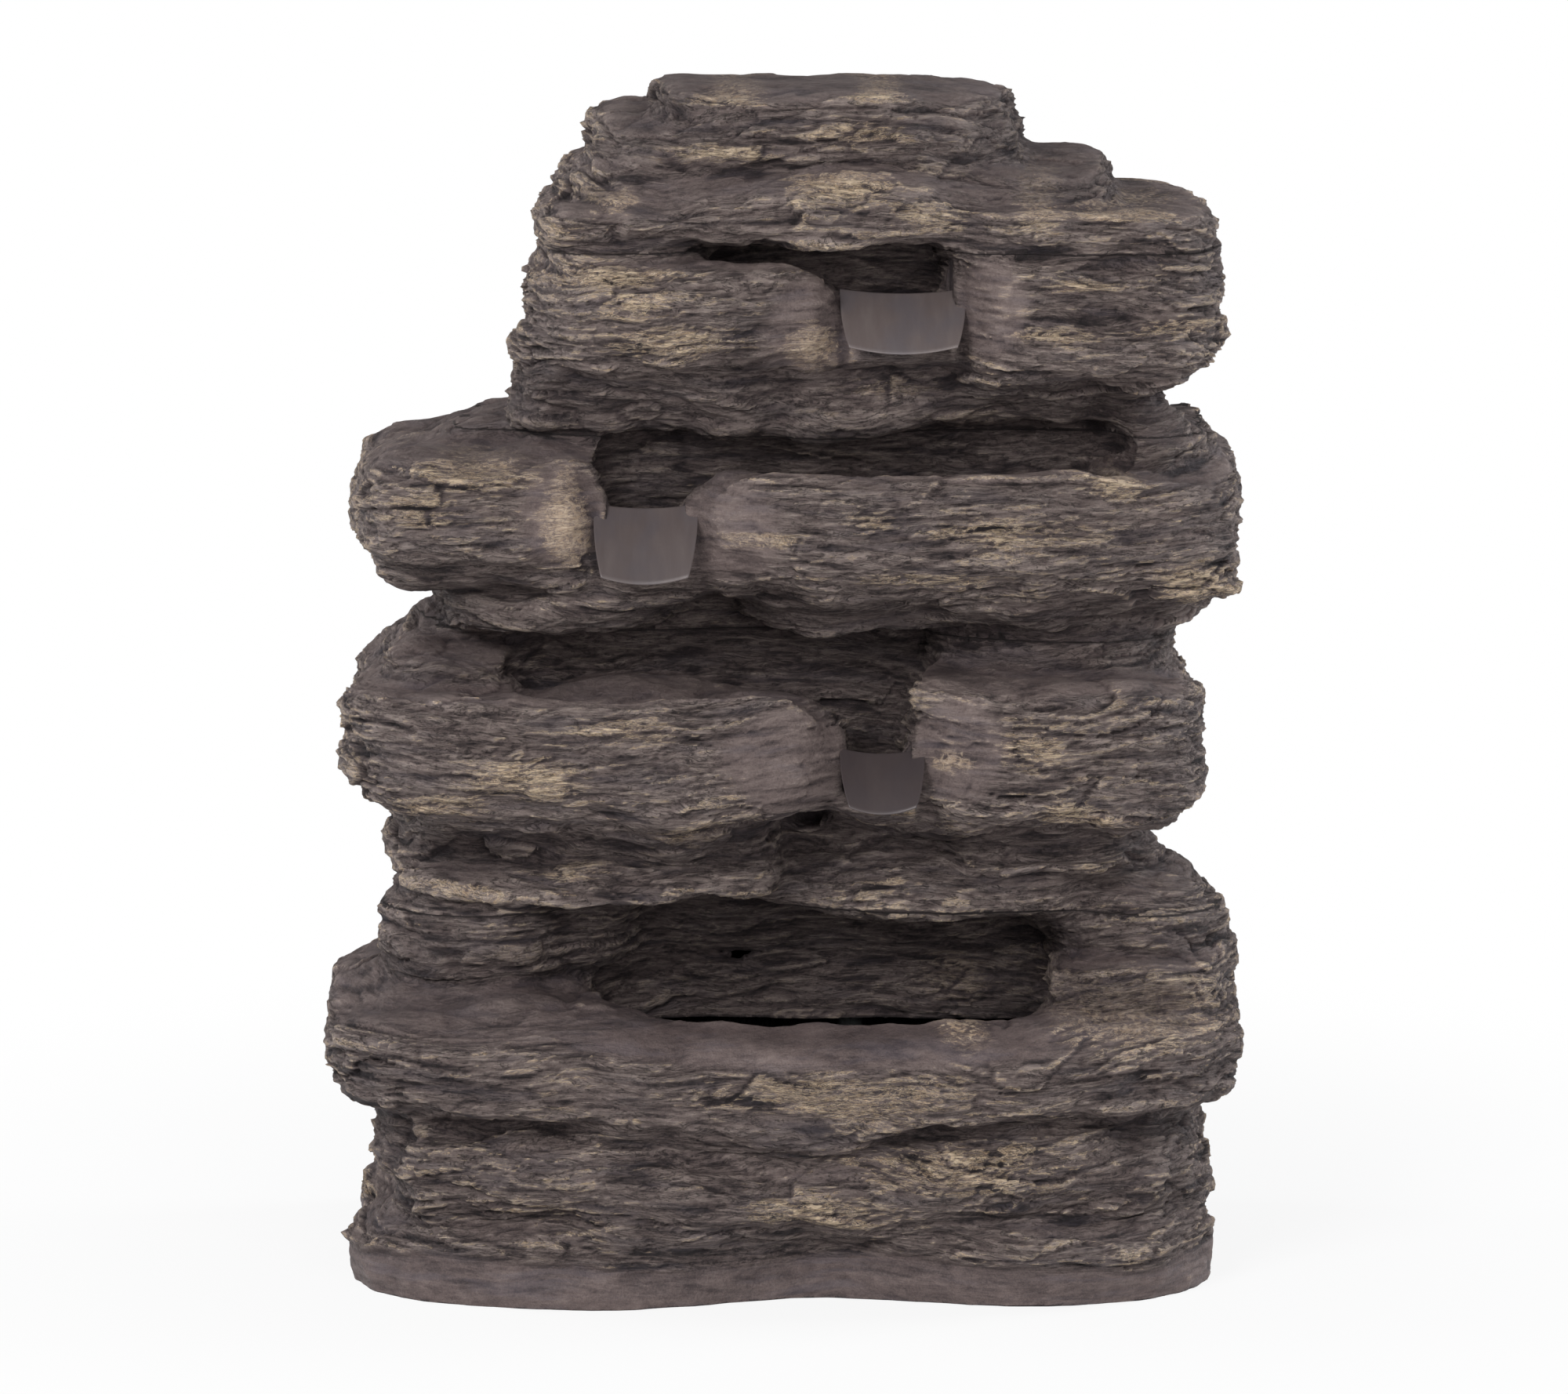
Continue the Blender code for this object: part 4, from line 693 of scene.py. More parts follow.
def roughen(rock):
    """Gives the rock its strata, finer upwards than across, and marks what its finish needs."""
    stretch(rock, UPWARD)
    remesh(rock, FINE_VOXEL)
    stretch(rock, 1 / UPWARD)
    relax(rock, 0.5, 2)
    points, normals = read_points(rock), read_normals(rock)
    calm = calm_ground(points, normals)
    lift = strata_relief(points, normals, calm) * chute_clearance(points, CHUTE_CLEAR)
    mark(rock, "calm", calm)
    mark(rock, "bedding", bedding(points)[:, 2])
    mark(rock, "wash", wash_cover(points, normals))
    mark(rock, "recess", recess(points))
    write_points(rock, keep_inside(points + normals * lift[:, None]))
    return rock


def wash_cover(points, normals):
    """How thickly the cream wash lies: in patches in front, sparsely elsewhere."""
    cover = np.zeros(len(points))
    for x, z, across, up in WASH_PATCHES:
        away = ((points[:, 0] - x) / across) ** 2 + ((points[:, 2] - z) / up) ** 2
        cover = np.maximum(cover, np.exp(-0.8 * away**1.5))
    front = 1 - step_between(0.10, 0.45, normals[:, 1])
    sparse = 0.55 * step_between(0.15, 0.7, noise(points, 12, 12, 34, shift=71.0))
    return np.maximum(cover * front, sparse * (1 - 0.6 * front))


def furthest(across, up, outward, reach=6, cell=0.01):
    """The furthest value out near each point, on a grid across and up."""
    columns = np.floor(across / cell).astype(np.int64)
    rows = np.floor(up / cell).astype(np.int64)
    columns -= columns.min() - reach
    rows -= rows.min() - reach
    grid = np.full((columns.max() + reach + 1, rows.max() + reach + 1), -1.0)
    np.maximum.at(grid, (columns, rows), outward)
    for axis, times in ((0, reach), (1, reach // 2)):
        for _ in range(times):
            grid = np.maximum(grid, np.maximum(np.roll(grid, 1, axis), np.roll(grid, -1, axis)))
    for _ in range(4):
        for axis in (0, 1):
            grid = (np.roll(grid, 1, axis) + grid + np.roll(grid, -1, axis)) / 3
    return grid[columns, rows]


def recess(points):
    """How deep each point lies behind the rock round it, in metres, seen from the front and from both sides."""
    x, y, z = points.T
    deep = furthest(x, z, -y) + y
    deep = np.minimum(deep, furthest(y, z, x) - x)
    return np.minimum(deep, furthest(y, z, -x) + x)


def spread(values, edges, times):
    """Averages each point's value with its neighbours', a number of times."""
    count = np.bincount(edges.ravel(), minlength=len(values)).astype(float)
    for _ in range(times):
        total = np.stack(
            [
                np.bincount(edges[:, 0], values[edges[:, 1], axis], len(values))
                + np.bincount(edges[:, 1], values[edges[:, 0], axis], len(values))
                for axis in range(values.shape[1])
            ],
            axis=1,
        )
        values = 0.5 * values + 0.5 * total / count[:, None]
    return values


def mark_relief(rock):
    """Stores how far each point stands out of its surroundings, finely and broadly, as attributes."""
    points, normals, edges = read_points(rock), read_normals(rock), read_edges(rock)
    near = spread(points, edges, 4)
    far = spread(near, edges, 36)
    for name, middle, reach in (("ridge", near, 0.0011), ("cavity", far, 0.0050)):
        height = np.einsum("ij,ij->i", points - middle, normals)
        values = np.clip(0.5 + 0.5 * height / reach, 0, 1)
        mark(rock, name, values)


def hollow(name, tier, inset=0.0, bottom=None, top=None):
    left, right, low, high = tier.hollow
    return block(
        name,
        left + inset,
        right - inset,
        HOLLOW_FRONT + inset,
        HOLLOW_BACK - inset,
        low if bottom is None else bottom,
        high if top is None else top,
        corner=HOLLOW_CORNER - min(inset, HOLLOW_CORNER / 2),
    )


def deck_hole(tier):
    left, right, front, back = DECK_HOLE
    low, high = tier.deck - CUT_PAST, tier.deck + CUT_PAST
    return block("deck_hole", left, right, front, back, low, high, corner=HOLLOW_CORNER / 2)


def hole_for(node, radius, start, end):
    """A hole along y from one depth to another, in line with a round fitting."""
    low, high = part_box(node)
    x, z = (low.x + high.x) / 2, (low.z + high.z) / 2
    return cylinder("hole", radius, (x, start, z), (x, end, z))


def base_cutters():
    """The reservoir, and the holes and shallow seats of the drain plug and the grommet."""
    cutters = [bowl("reservoir", *RESERVOIR, RESERVOIR_FLOOR_ROUND)]
    for node, hole in (("drain_plug", DRAIN_HOLE), ("cord_grommet", GROMMET_HOLE)):
        low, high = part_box(node)
        seat = (high.x - low.x) / 2 + SEAT_CLEARANCE
        for radius, depth in ((hole, CUT_PAST), (seat, SEAT_DEPTH)):
            cutters.append(hole_for(node, radius, BACK_Y + 0.01, BACK_Y - depth))
    return cutters


def lower_cutters():
    """The door's rebate and opening, and the pockets of its keepers."""
    low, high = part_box("rear_access_door")
    cutters = []
    for name, grow, face in (
        ("rebate", DOOR_GAP, BACK_Y - DOOR_REBATE),
        ("opening", DOOR_GAP - DOOR_LAP, HOLLOW_BACK - CUT_PAST),
    ):
        sides = (low.x - grow, high.x + grow, face, BACK_Y + CUT_PAST, low.z - grow, high.z + grow)
        cutters.append(block(name, *sides, corner=DOOR_CORNER, along=1))
    for node in ("door_keeper_left", "door_keeper_right"):
        low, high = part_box(node)
        radius = (high.z - low.z) / 2 + POCKET_CLEARANCE
        cutters.append(hole_for(node, radius, BACK_Y, low.y - POCKET_CLEARANCE))
    return cutters


def upper_cutters():
    """The outlet fitting's way through the pool's back wall."""
    return [hole_for("outlet_gasket", OUTLET_HOLE, OUTLET_WALL_FRONT, 0.0)]


OWN_CUTTERS = {"base_reservoir": base_cutters, "lower_tier_rock": lower_cutters, "upper_tier_rock": upper_cutters}


def chute_void(node):
    """What has to stay clear over a chute's floor."""
    sheet = chute_sheet(node, -CHUTE_TUCK / 2, -CHUTE_SHEET / 2)
    return object_from(thicken(sheet, CHUTE_HEADROOM), "chute_void")


def slice_tier(rock, index, finishes):
    """Cuts one casting out of the rock, and hollows it as its frame is hollowed."""
    tier = TIERS[index]
    part = bpy.data.objects.new("rock_" + tier.node, rock.data.copy())
    bpy.context.scene.collection.objects.link(part)
    part.data.materials.clear()
    for finish in finishes:
        part.data.materials.append(finish)
    last = index == len(TIERS) - 1
    top = tier.deck + 0.1 if last else tier.deck - SEAM
    combine(part, cast(block("slab", -1, 1, -1, BACK_Y, tier.seat, top), finishes), "INTERSECT")
    if not last:
        above = TIERS[index + 1]
        low, high = tier.deck - COLLAR_ROOT, tier.deck + COLLAR_HEIGHT
        ring = hollow("collar", above, COLLAR_CLEARANCE, low, high)
        inner = hollow("inner", above, COLLAR_CLEARANCE + COLLAR_WALL, low - 0.01, high + 0.01)
        combine(part, cast(combine(ring, inner, "DIFFERENCE"), finishes), "UNION")
    cutter = hollow("hollow", tier)
    others = [] if last else [deck_hole(tier)]
    if tier.node in OWN_CUTTERS:
        others += OWN_CUTTERS[tier.node]()
    for other in others:
        combine(cutter, other, "UNION")
    combine(part, cast(cutter, finishes), "DIFFERENCE")
    for node in CHUTES:
        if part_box(node)[0].z > tier.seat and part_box(node)[1].z < tier.deck + 0.01:
            combine(part, chute_void(node), "DIFFERENCE")
    part.data.shade_smooth()
    part.data.set_sharp_from_angle(angle=SHARP)
    crease_cuts(part)
    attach(part, BODY)
    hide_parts(tier.node)


def crease_cuts(part):
    """Makes the edges between the rough rock and its flat cuts sharp, so that the cuts look flat."""
    bm = bmesh.new()
    bm.from_mesh(part.data)
    for edge in bm.edges:
        if len({face.material_index for face in edge.link_faces}) > 1:
            edge.smooth = False
    bm.to_mesh(part.data)
    bm.free()


def cast(cutter, finishes):
    """Gives a cutter's faces the plain finish of the castings' inside."""
    for finish in finishes:
        cutter.data.materials.append(finish)
    for face in cutter.data.polygons:
        face.material_index = 1
    return cutter


# Fittings


def body_of(node):
    """The moving body that a node of the frame belongs to."""
    bodies = frame["record"]["behaviour"]["bodies"]
    return next(body for body, nodes in bodies.items() if node in nodes)


def refined(node, slot, finish, edge):
    """A fitting with its edges rounded, from its own frame node."""
    bm = bmesh.new()
    bm.from_mesh(frame["nodes"][node].data)
    bmesh.ops.remove_doubles(bm, verts=bm.verts, dist=MERGE)
    bmesh.ops.dissolve_limit(bm, angle_limit=math.radians(1.0), verts=bm.verts, edges=bm.edges)
    sharp = [line for line in bm.edges if line.is_manifold and line.calc_face_angle(0.0) > math.radians(38)]
    bevel(bm, sharp, edge, 3, clamp_overlap=True)
    bmesh.ops.recalc_face_normals(bm, faces=bm.faces)
    piece = object_from(bm, node + "_piece", finish)
    piece.data.shade_smooth()
    piece.data.set_sharp_from_angle(angle=math.radians(50))
    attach(piece, body_of(node))
    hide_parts(node)


# Chutes


def chute_sheet(node, tuck, lift=0.0):
    """A chute's upper face: dished across and steeper at its lip. Its sides run a little way under the rock."""
    low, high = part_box(node)
    bm = bmesh.new()
    bmesh.ops.create_grid(bm, x_segments=48, y_segments=28, size=1.0)
    half = (high.x - low.x) / 2
    middle = (high.x + low.x) / 2
    back, front = high.z - CHEEK_RISE + CHUTE_FLOOR, low.z + CHUTE_FLOOR
    for vert in bm.verts:
        run = (1 - vert.co.y) / 2
        across = vert.co.x * (half + tuck * (1 - run**3))
        fall = 0.80 * run + 0.20 * run**2.5
        dish = CHUTE_DISH * (across / half) ** 2 * (0.5 + 0.5 * run)
        vert.co = (middle + across, high.y + (low.y - high.y) * run, back + (front - back) * fall + dish + lift)
    bmesh.ops.recalc_face_normals(bm, faces=bm.faces)
    if sum(face.normal.z for face in bm.faces) < 0:
        bmesh.ops.reverse_faces(bm, faces=bm.faces)
    return bm


def thicken(bm, rise):
    """Gives a sheet a second face above it, or below it if negative, and walls between the two."""
    grown = bmesh.ops.extrude_face_region(bm, geom=list(bm.faces))["geom"]
    moved = [part for part in grown if isinstance(part, bmesh.types.BMVert)]
    bmesh.ops.translate(bm, verts=moved, vec=(0.0, 0.0, rise))
    bmesh.ops.recalc_face_normals(bm, faces=bm.faces)
    return bm


def spill_chute(node, finish):
    bm = thicken(chute_sheet(node, CHUTE_TUCK), -CHUTE_SHEET)
    edges = [edge for edge in bm.edges if edge.calc_face_angle(0) > 1.0]
    bevel(bm, edges, CHUTE_EDGE, 2)
    chute = object_from(bm, node + "_sheet", finish)
    chute.data.shade_smooth()
    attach(chute, BODY)
    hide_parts(node)


# Materials


class Finish:
    """One node material under construction."""

    def __init__(self, name):
        self.material = bpy.data.materials.new(name)
        self.material.use_nodes = True
        self.tree = self.material.node_tree
        self.shader = self.tree.nodes["Principled BSDF"]

    def set(self, node, socket, value):
        """Gives a socket a value, or links it to another node's socket."""
        target = node.inputs[socket]
        if isinstance(value, bpy.types.NodeSocket):
            self.tree.links.new(value, target)
        else:
            target.default_value = value

    def node(self, kind, inputs=None, **settings):
        made = self.tree.nodes.new("ShaderNode" + kind)
        for name, value in settings.items():
            setattr(made, name, value)
        for socket, value in (inputs or {}).items():
            self.set(made, socket, value)
        return made

    def place(self, scale=(1.0, 1.0, 1.0), turn=(0.0, 0.0, 0.0), where=None, shift=(0.0, 0.0, 0.0)):
        """Object coordinates, or those given, scaled along each axis, turned and shifted."""
        if where is None:
            where = self.node("TexCoord").outputs["Object"]
        inputs = {"Vector": where, "Scale": scale, "Rotation": turn, "Location": shift}
        return self.node("Mapping", inputs).outputs["Vector"]

    def noise(self, where, scale, detail=4.0, rough=0.6, twist=0.0):
        inputs = {"Vector": where, "Scale": scale, "Detail": detail, "Roughness": rough, "Distortion": twist}
        return self.node("TexNoise", inputs).outputs["Fac"]

    def ridged(self, where, scale, detail, rough, lacunarity):
        """Noise with sharp crests, as in folded or torn stone."""
        inputs = {"Vector": where, "Scale": scale, "Detail": detail, "Roughness": rough, "Lacunarity": lacunarity}
        inputs.update({"Offset": 1.0, "Gain": 1.6})
        return self.node("TexNoise", inputs, noise_type="RIDGED_MULTIFRACTAL", normalize=True).outputs["Fac"]

    def math(self, operation, first, second=0.5, third=None, clamp=False):
        inputs = {0: first, 1: second}
        if third is not None:
            inputs[2] = third
        return self.node("Math", inputs, operation=operation, use_clamp=clamp).outputs[0]

    def times(self, first, second):
        return self.math("MULTIPLY", first, second)

    def total(self, *values):
        """The sum of sockets and numbers."""
        result = values[0]
        for value in values[1:]:
            result = self.math("ADD", result, value)
        return result

    def swing(self, value, gain):
        """How far a value lies from a half, times a gain."""
        return self.times(self.math("SUBTRACT", value, 0.5), gain)

    def vein(self, value, thin, thick):
        """1 along the lines where a noise crosses a half, falling to 0 beside them."""
        return self.between(self.math("ABSOLUTE", self.math("SUBTRACT", value, 0.5)), thin, thick, 1.0, 0.0)

    def attribute(self, name):
        return self.node("Attribute", attribute_name=name, attribute_type="GEOMETRY").outputs["Fac"]

    def between(self, value, low, high, start=0.0, end=1.0):
        """Maps a range smoothly onto another, and holds it there."""
        inputs = {0: value, 1: low, 2: high, 3: start, 4: end}
        return self.node("MapRange", inputs, interpolation_type="SMOOTHSTEP").outputs[0]

    def ramp(self, value, stops):
        made = self.node("ValToRGB", {0: value})
        points = made.color_ramp.elements
        while len(points) < len(stops):
            points.new(0.5)
        for point, (place, colour) in zip(points, stops):
            point.position = place
            point.color = (*colour, 1.0)
        return made.outputs["Color"]

    def mix(self, factor, first, second):
        made = self.node("Mix", data_type="RGBA")
        self.set(made, 0, factor)
        for socket, value in ((6, first), (7, second)):
            self.set(made, socket, (*value, 1.0) if isinstance(value, tuple) and len(value) == 3 else value)
        return made.outputs[2]

    def bump(self, height, distance, strength=1.0, normal=None):
        inputs = {"Height": height, "Distance": distance, "Strength": strength}
        if normal is not None:
            inputs["Normal"] = normal
        return self.node("Bump", inputs).outputs["Normal"]

    def finish(self, **sockets):
        """Sets the shader's sockets by name, with spaces as underscores, and gives the material."""
        for name, value in sockets.items():
            if isinstance(value, tuple) and len(value) == 3:
                value = (*value, 1.0)
            self.set(self.shader, name.replace("_", " "), value)
        return self.material


def rock_finish(looks):
    """Cast resin in dark brown-grey, with painted shade in its cracks, creases and caves (in the caves partly the
    castings' own darker paint), painted highlights and a painted bluish sheen, and a cream wash over its edges.
    """
    made = Finish("washed_rock_resin")
    ridge, cavity, calm, patch, deep = map(made.attribute, ("ridge", "cavity", "calm", "wash", "recess"))
    flat = made.node("SeparateXYZ", {0: made.place()}).outputs
    where = made.node("CombineXYZ", {"X": flat[0], "Y": flat[1], "Z": made.attribute("bedding")}).outputs[0]
    along = made.place((1.0, 1.0, 6.4), where=where)
    plain = made.place()
    folds = made.between(made.ridged(along, 22.0, 9.0, 0.62, 2.15), 0.15, 1.35)
    fibres = made.noise(along, 44.0, 8.0, 0.74, 0.9)
    threads = made.noise(along, 140.0, 5.0, 0.70, 0.5)
    grit = made.noise(plain, 800.0, 4.0, 0.70)
    pits = made.noise(plain, 260.0, 3.0, 0.6, 0.5)
    drift = made.noise(made.place((1.0, 1.0, 1.8)), 9.0, 5.0, 0.6)
    veins = made.total(made.swing(fibres, 0.72), made.swing(threads, 0.52), made.swing(folds, 0.34))
    # Painted highlight and shade: fine crests lighter and fine creases darker, broad bulges lighter and hollows
    # darker, the crests partly dry-brushed paint; the smooth ground set darker, partly as painted shade on the ledge
    # tops; darker towards the bottom.
    light = made.total(
        made.times(ridge, 0.42),
        made.times(cavity, 0.30),
        made.times(veins, made.between(calm, 0.0, 1.0, 1.0, 0.30)),
        made.swing(drift, 0.34),
        made.swing(grit, 0.36),
        made.swing(pits, 0.16),
        made.between(calm, 0.0, 1.0, 0.118, 0.082),
        made.between(flat[2], 0.10, 0.45, -0.060, 0.0),
    )
    stone = made.ramp(
        light,
        (
            (0.15, (0.015, 0.009, 0.011)),
            (0.31, (0.052, 0.037, 0.037)),
            (0.48, tuple(looks.stone_colour)),
            (0.64, (0.190, 0.146, 0.134)),
            (0.84, (0.330, 0.266, 0.240)),
        ),
    )
    # Painted sheen: bluish patches that stand in for a sheen of light on the rock.
    painted_sheen = made.between(made.noise(along, 17.0, 4.0, 0.55), 0.50, 0.66)
    stone = made.mix(made.times(painted_sheen, 0.30), stone, (0.078, 0.068, 0.086))
    bent = made.place(where=along, shift=(3.1, 1.7, 5.3))
    # Painted shade along thin cracks, less on smooth ground.
    cracks = made.vein(made.noise(bent, 25.0, 8.0, 0.72, 1.3), 0.003, 0.017)
    cracks = made.times(cracks, made.between(calm, 0.0, 0.8, 0.85, 0.10))
    stone = made.mix(cracks, stone, (0.016, 0.010, 0.012))
    # Painted shade in the caves and under the ledges, partly also the darker paint that the castings have there.
    shade = made.between(deep, 0.012, 0.062, 0.0, 0.66)
    stone = made.mix(shade, stone, made.mix(0.55, stone, (0.030, 0.017, 0.020)))
    streaks = made.noise(along, 34.0, 9.0, 0.72, 1.8)
    twigs = made.noise(along, 84.0, 7.0, 0.70, 1.6)
    raised = made.total(made.times(ridge, 0.55), made.times(cavity, 0.30), made.times(patch, 0.34))
    raised = made.total(raised, made.swing(drift, 0.60))
    blend = made.times(made.total(streaks, twigs), 0.40)
    dense = made.between(made.total(raised, blend), 1.250, 1.280)
    dense = made.times(dense, made.between(threads, 0.44, 0.52))
    veined = made.times(made.vein(streaks, 0.009, 0.018), made.between(raised, 0.58, 0.68))
    haired = made.times(made.vein(twigs, 0.008, 0.019), made.between(raised, 0.62, 0.74, 0.0, 0.9))
    wash = made.math("MAXIMUM", dense, made.math("MAXIMUM", veined, haired))
    wash = made.times(wash, made.between(shade, 0.10, 0.55, looks.wash_strength, 0.22))
    wash = made.times(wash, made.between(calm, 0.3, 1.0, 1.0, 0.30))
    flecks = made.between(made.times(pits, made.math("MULTIPLY_ADD", patch, 0.8, 0.35)), 0.52, 0.66)
    wash = made.math("MAXIMUM", wash, made.times(flecks, made.times(calm, 0.45)))
    cream = made.mix(made.between(threads, 0.35, 0.65), tuple(looks.wash_colour), (0.84, 0.67, 0.48))
    colour = made.mix(wash, stone, cream)
    relief = made.total(fibres, made.times(threads, 0.40), made.times(folds, 0.45), made.times(cracks, -0.30))
    normal = made.bump(made.times(relief, made.math("SUBTRACT", 1.0, calm)), 0.0052, 1.0)
    normal = made.bump(made.times(pits, made.between(calm, 0.0, 1.0, 0.5, 1.0)), 0.0014, 0.8, normal)
    normal = made.bump(grit, 0.0004, 0.8, normal)
    rough = made.between(fibres, 0.3, 0.7, 0.84, 0.56)
    return made.finish(Base_Color=colour, Roughness=rough, Normal=normal, Specular_IOR_Level=0.45)


def lining_finish():
    """The plain inside and back of the castings, with the faint weave of the glass mat under its resin."""
    made = Finish("bare_cast_resin")
    where = made.place()
    mat = made.noise(where, 60.0, 5.0, 0.7, 1.6)
    strands = made.noise(made.place(turn=(0.5, 0.4, 0.7)), 260.0, 3.0, 0.6, 2.0)
    blotch = made.noise(where, 9.0, 3.0, 0.5)
    tone = made.total(made.times(mat, 0.5), made.times(blotch, 0.5))
    stops = ((0.30, (0.066, 0.054, 0.050)), (0.50, (0.098, 0.083, 0.077)), (0.72, (0.140, 0.121, 0.112)))
    colour = made.ramp(tone, stops)
    normal = made.bump(made.total(mat, made.times(strands, 0.6)), 0.0010, 0.6)
    rough = made.between(blotch, 0.3, 0.7, 0.62, 0.80)
    return made.finish(Base_Color=colour, Roughness=rough, Normal=normal)


def chute_finish():
    """Smooth bronzed resin with water marks down its slope, a painted bluish sheen, and painted shadow darkening the
    lower chutes, which the rock above shades.
    """
    made = Finish("bronzed_chute_resin")
    down = made.place((1.0, 0.16, 0.16))
    marks = made.noise(down, 150.0, 5.0, 0.6, 0.3)
    # Painted sheen: bluish patches that stand in for a sheen of light; the same noise makes the gloss uneven.
    sheen_and_gloss = made.noise(made.place((1.0, 0.7, 0.7)), 34.0, 3.0, 0.5)
    fine = made.noise(made.place(), 420.0, 3.0, 0.6)
    stops = ((0.30, (0.118, 0.093, 0.088)), (0.52, (0.132, 0.106, 0.102)), (0.74, (0.150, 0.123, 0.117)))
    brown = made.ramp(marks, stops)
    colour = made.mix(made.between(sheen_and_gloss, 0.42, 0.70, 0.0, 0.50), brown, (0.106, 0.098, 0.112))
    # Painted shadow: the lower chutes darker, as the rock above shades them.
    height = made.node("SeparateXYZ", {0: made.place()}).outputs[2]
    colour = made.mix(made.between(height, 0.36, 0.66, 0.75, 0.0), colour, (0.044, 0.033, 0.035))
    rough = made.between(sheen_and_gloss, 0.3, 0.7, 0.46, 0.34)
    normal = made.bump(fine, 0.0002, 0.4)
    return made.finish(Base_Color=colour, Roughness=rough, Normal=normal, Metallic=0.10, Specular_IOR_Level=0.55)


def simple_finish(name, colour, rough, metallic=0.0, grain=400.0, depth=0.0002):
    """A moulded or metal finish with a faint grain and uneven gloss."""
    made = Finish(name)
    where = made.place()
    fine = made.noise(where, grain, 3.0, 0.6)
    broad = made.noise(where, 30.0, 4.0, 0.55)
    dark = tuple(value * 0.82 for value in colour)
    light = tuple(min(value * 1.15, 1.0) for value in colour)
    shade = made.mix(broad, dark, light)
    gloss = made.between(broad, 0.3, 0.7, rough - GLOSS_DRIFT, rough + GLOSS_DRIFT)
    normal = made.bump(fine, depth, 0.5)
    return made.finish(Base_Color=shade, Roughness=gloss, Metallic=metallic, Normal=normal)


# Add-on


class FountainLooks(bpy.types.PropertyGroup):
    """Colours of the fountain's rock, and how strong its wash is."""

    stone_colour: FloatVectorProperty(
        name="Stone", description="Colour of the rock", subtype="COLOR", min=0, max=1, default=(0.122, 0.090, 0.085)
    )
    wash_colour: FloatVectorProperty(
        name="Wash", description="Colour over its edges", subtype="COLOR", min=0, max=1, default=(0.60, 0.42, 0.25)
    )
    wash_strength: FloatProperty(
        name="Wash strength", description="How dense the wash is", subtype="FACTOR", min=0, max=1, default=0.9
    )


class FOUNTAIN_OT_rock(bpy.types.Operator):
    """Fuse the castings, roughen them as one rock and slice them at their seats"""

    bl_idname = "fountain.rock"
    bl_label = "Rock castings"

    def execute(self, context):
        finishes = (rock_finish(context.scene.fountain_looks), lining_finish())
        rock = roughen(fused_rock())
        mark_relief(rock)
        for index in range(len(TIERS)):
            slice_tier(rock, index, finishes)
        bpy.data.objects.remove(rock, do_unlink=True)
        return {"FINISHED"}


class FOUNTAIN_OT_chutes(bpy.types.Operator):
    """Form the three smooth channels that carry the water over each pool's edge"""

    bl_idname = "fountain.chutes"
    bl_label = "Spill chutes"

    def execute(self, context):
        finish = chute_finish()
        for node in CHUTES:
            spill_chute(node, finish)
        return {"FINISHED"}


class FOUNTAIN_OT_fittings(bpy.types.Operator):
    """Round the edges of the door, pump, hose and small fittings, and give them their finishes"""

    bl_idname = "fountain.fittings"
    bl_label = "Fittings"

    def execute(self, context):
        finishes = {
            "door": (simple_finish("moulded_door", (0.062, 0.050, 0.046), 0.70, depth=0.0006, grain=180.0), 0.0014),
            "rubber": (simple_finish("black_rubber", (0.022, 0.022, 0.023), 0.78), 0.0006),
            "hose": (simple_finish("grey_vinyl", (0.230, 0.240, 0.240), 0.35), 0.0004),
            "pump_plastic": (simple_finish("pump_plastic", (0.026, 0.027, 0.029), 0.45), 0.0006),
            "magnet": (simple_finish("ferrite", (0.060, 0.060, 0.064), 0.50, 0.4), 0.0004),
            "ceramic": (simple_finish("white_ceramic", (0.800, 0.790, 0.760), 0.30), 0.0003),
            "steel": (simple_finish("stainless_steel", (0.560, 0.560, 0.570), 0.30, 1.0), 0.0003),
        }
        for part in frame["record"]["subparts"]:
            node, slot = part["node"], part["material_slot"]
            if slot in finishes:
                refined(node, slot, *finishes[slot])
        return {"FINISHED"}


def area_light(name, place, aim, size, power, colour=(1.0, 1.0, 1.0)):
    data = bpy.data.lights.new(name, "AREA")
    data.shape = "RECTANGLE"
    data.size, data.size_y = size
    data.energy = power
    data.color = colour
    lamp = bpy.data.objects.new(name, data)
    bpy.context.scene.collection.objects.link(lamp)
    lamp.location = place
    lamp.rotation_euler = (Vector(aim) - Vector(place)).to_track_quat("-Z", "Y").to_euler()


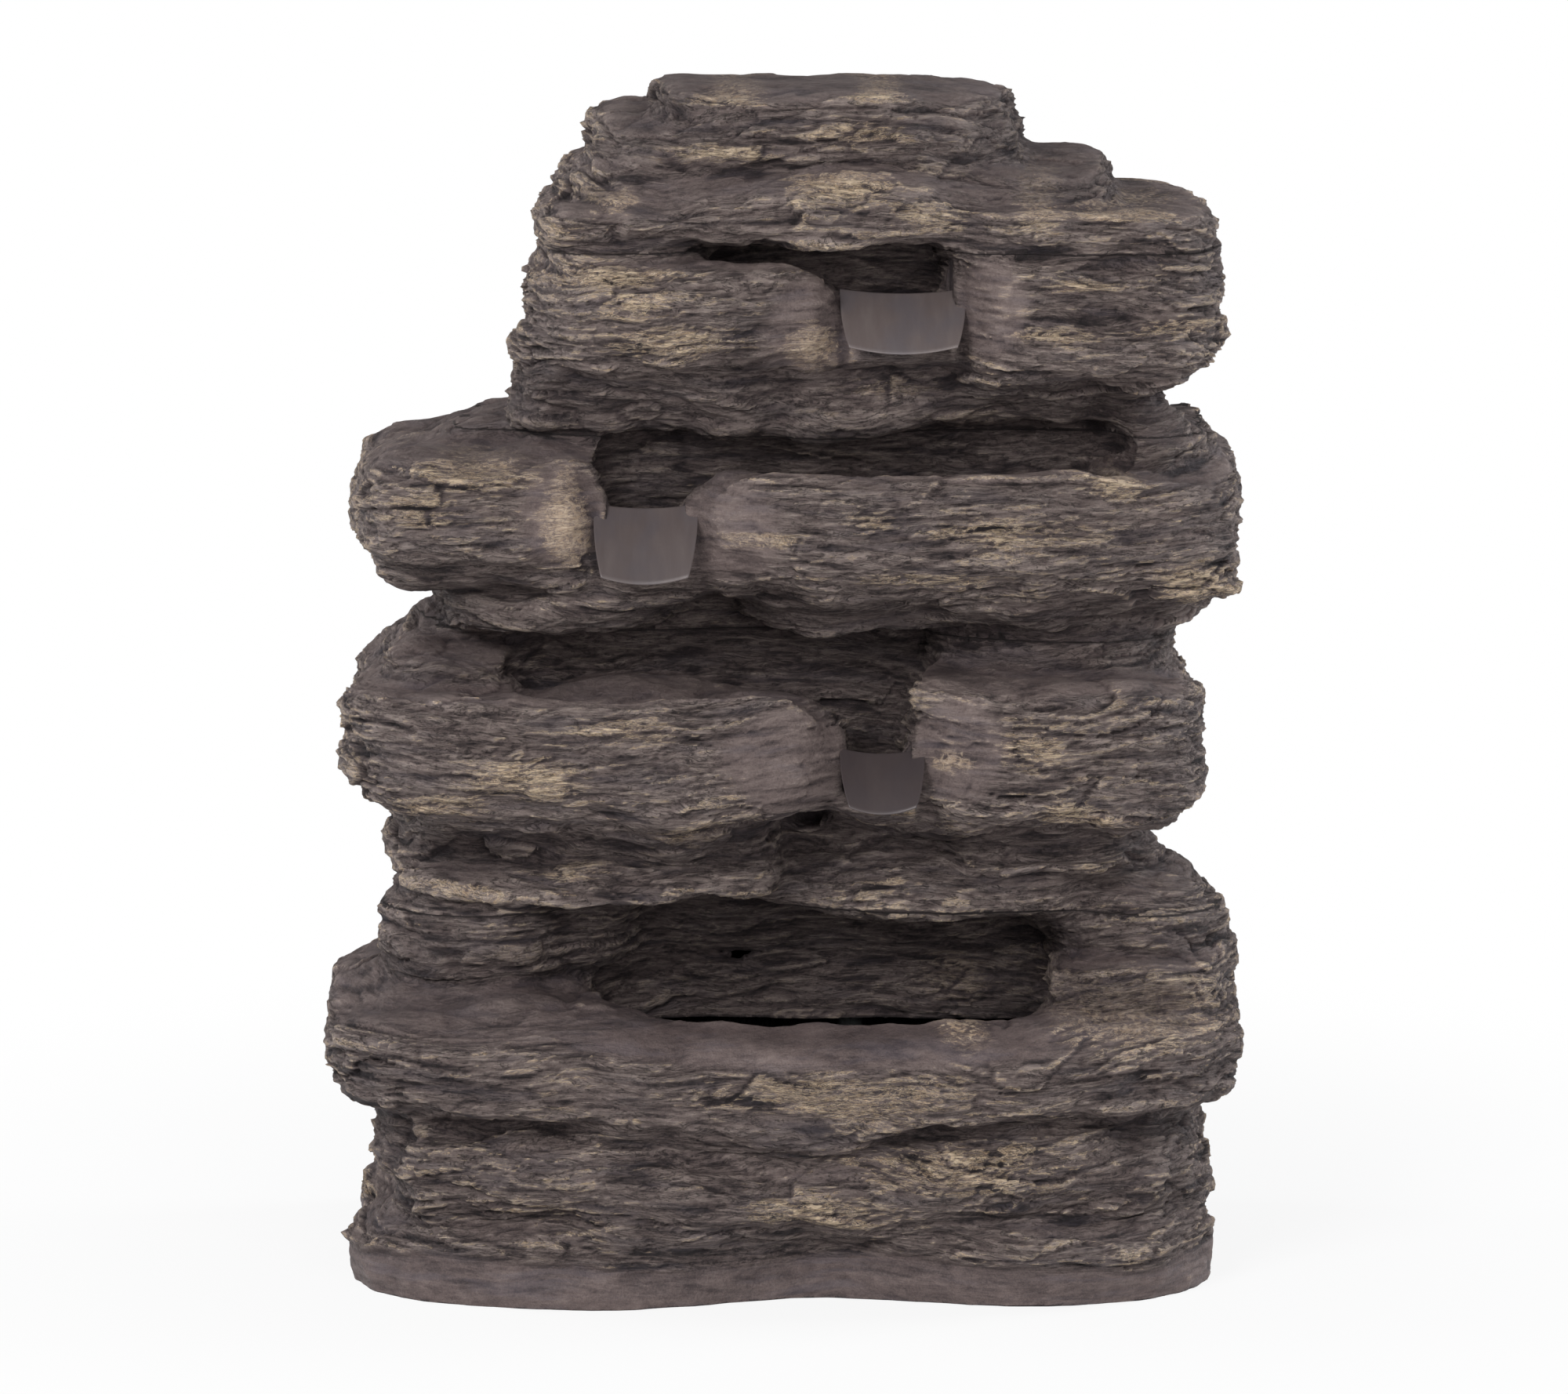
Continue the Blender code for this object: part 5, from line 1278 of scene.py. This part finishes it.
class FOUNTAIN_OT_stage(bpy.types.Operator):
    """Lay the pale floor, light it softly and set the camera"""

    bl_idname = "fountain.stage"
    bl_label = "Studio"

    def execute(self, context):
        scene = context.scene
        bm = bmesh.new()
        bmesh.ops.create_grid(bm, x_segments=1, y_segments=1, size=6.0)
        floor = object_from(bm, "studio_floor")
        made = Finish("studio_floor")
        paths = made.node("LightPath").outputs
        seen = made.math("ADD", paths["Is Camera Ray"], paths["Is Glossy Ray"], clamp=True)
        seen = made.math("ADD", seen, paths["Is Transmission Ray"], clamp=True)
        spot = made.node("VectorMath", {0: made.place((1.0, 1.0, 0.0))}, operation="LENGTH").outputs["Value"]
        seen = made.math("MULTIPLY", seen, made.between(spot, 0.35, 1.1, 0.86, 1.0))
        glow = made.node("Emission", {"Color": (1, 1, 1, 1), "Strength": 1.0}).outputs[0]
        made.finish(Base_Color=(0.80, 0.80, 0.80), Roughness=0.9, Specular_IOR_Level=0.0)
        blend = made.node("MixShader", {0: seen, 1: made.shader.outputs[0], 2: glow})
        made.tree.links.new(blend.outputs[0], made.tree.nodes["Material Output"].inputs["Surface"])
        floor.data.materials.append(made.material)
        area_light("key", (-1.5, -3.0, 2.4), (0, 0, 0.42), (1.5, 1.5), 92)
        area_light("fill", (1.3, -3.6, 1.1), (0, 0, 0.40), (2.2, 1.8), 46)
        area_light("edge_right", (2.2, 0.5, 1.3), (0, 0, 0.45), (0.8, 1.8), 34, (0.93, 0.96, 1.0))
        area_light("edge_left", (-2.2, 0.4, 1.2), (0, 0, 0.42), (0.8, 1.8), 24, (0.95, 0.97, 1.0))
        world = bpy.data.worlds.new("studio")
        scene.world = world
        world.use_nodes = True
        tree = world.node_tree
        back = tree.nodes["Background"]
        back.inputs["Color"].default_value = (1, 1, 1, 1)
        path = tree.nodes.new("ShaderNodeLightPath")
        strength = tree.nodes.new("ShaderNodeMapRange")
        tree.links.new(path.outputs["Is Camera Ray"], strength.inputs["Value"])
        strength.inputs["To Min"].default_value = 0.30
        strength.inputs["To Max"].default_value = 1.0
        tree.links.new(strength.outputs[0], back.inputs["Strength"])
        data = bpy.data.cameras.new("camera")
        data.lens = 168.8
        data.sensor_width = 36.0
        data.clip_end = 60.0
        camera = bpy.data.objects.new("camera", data)
        scene.collection.objects.link(camera)
        camera.location = (0.0, -5.2, 1.22)
        camera.rotation_euler = (Vector((0, 0, 0.3985)) - camera.location).to_track_quat("-Z", "Y").to_euler()
        scene.camera = camera
        scene.view_settings.view_transform = "Standard"
        return {"FINISHED"}


class FOUNTAIN_PT_panel(bpy.types.Panel):
    """Lists the fountain's pieces and its colours"""

    bl_idname = "FOUNTAIN_PT_panel"
    bl_label = "Rock fountain"
    bl_space_type = "VIEW_3D"
    bl_region_type = "UI"
    bl_category = "Fountain"

    def draw(self, context):
        looks = context.scene.fountain_looks
        column = self.layout.column()
        for name in ("stone_colour", "wash_colour", "wash_strength"):
            column.prop(looks, name)
        for operator in OPERATORS:
            column.operator(operator.bl_idname)


OPERATORS = (FOUNTAIN_OT_rock, FOUNTAIN_OT_chutes, FOUNTAIN_OT_fittings, FOUNTAIN_OT_stage)
CLASSES = (FountainLooks, *OPERATORS, FOUNTAIN_PT_panel)


def register():
    for made in CLASSES:
        bpy.utils.register_class(made)
    bpy.types.Scene.fountain_looks = PointerProperty(type=FountainLooks)


def unregister():
    del bpy.types.Scene.fountain_looks
    for made in reversed(CLASSES):
        bpy.utils.unregister_class(made)


def main():
    register()
    bpy.ops.fountain.rock()
    bpy.ops.fountain.chutes()
    bpy.ops.fountain.fittings()
    bpy.ops.fountain.stage()
    bpy.context.view_layer.update()


if __name__ == "__main__":
    main()
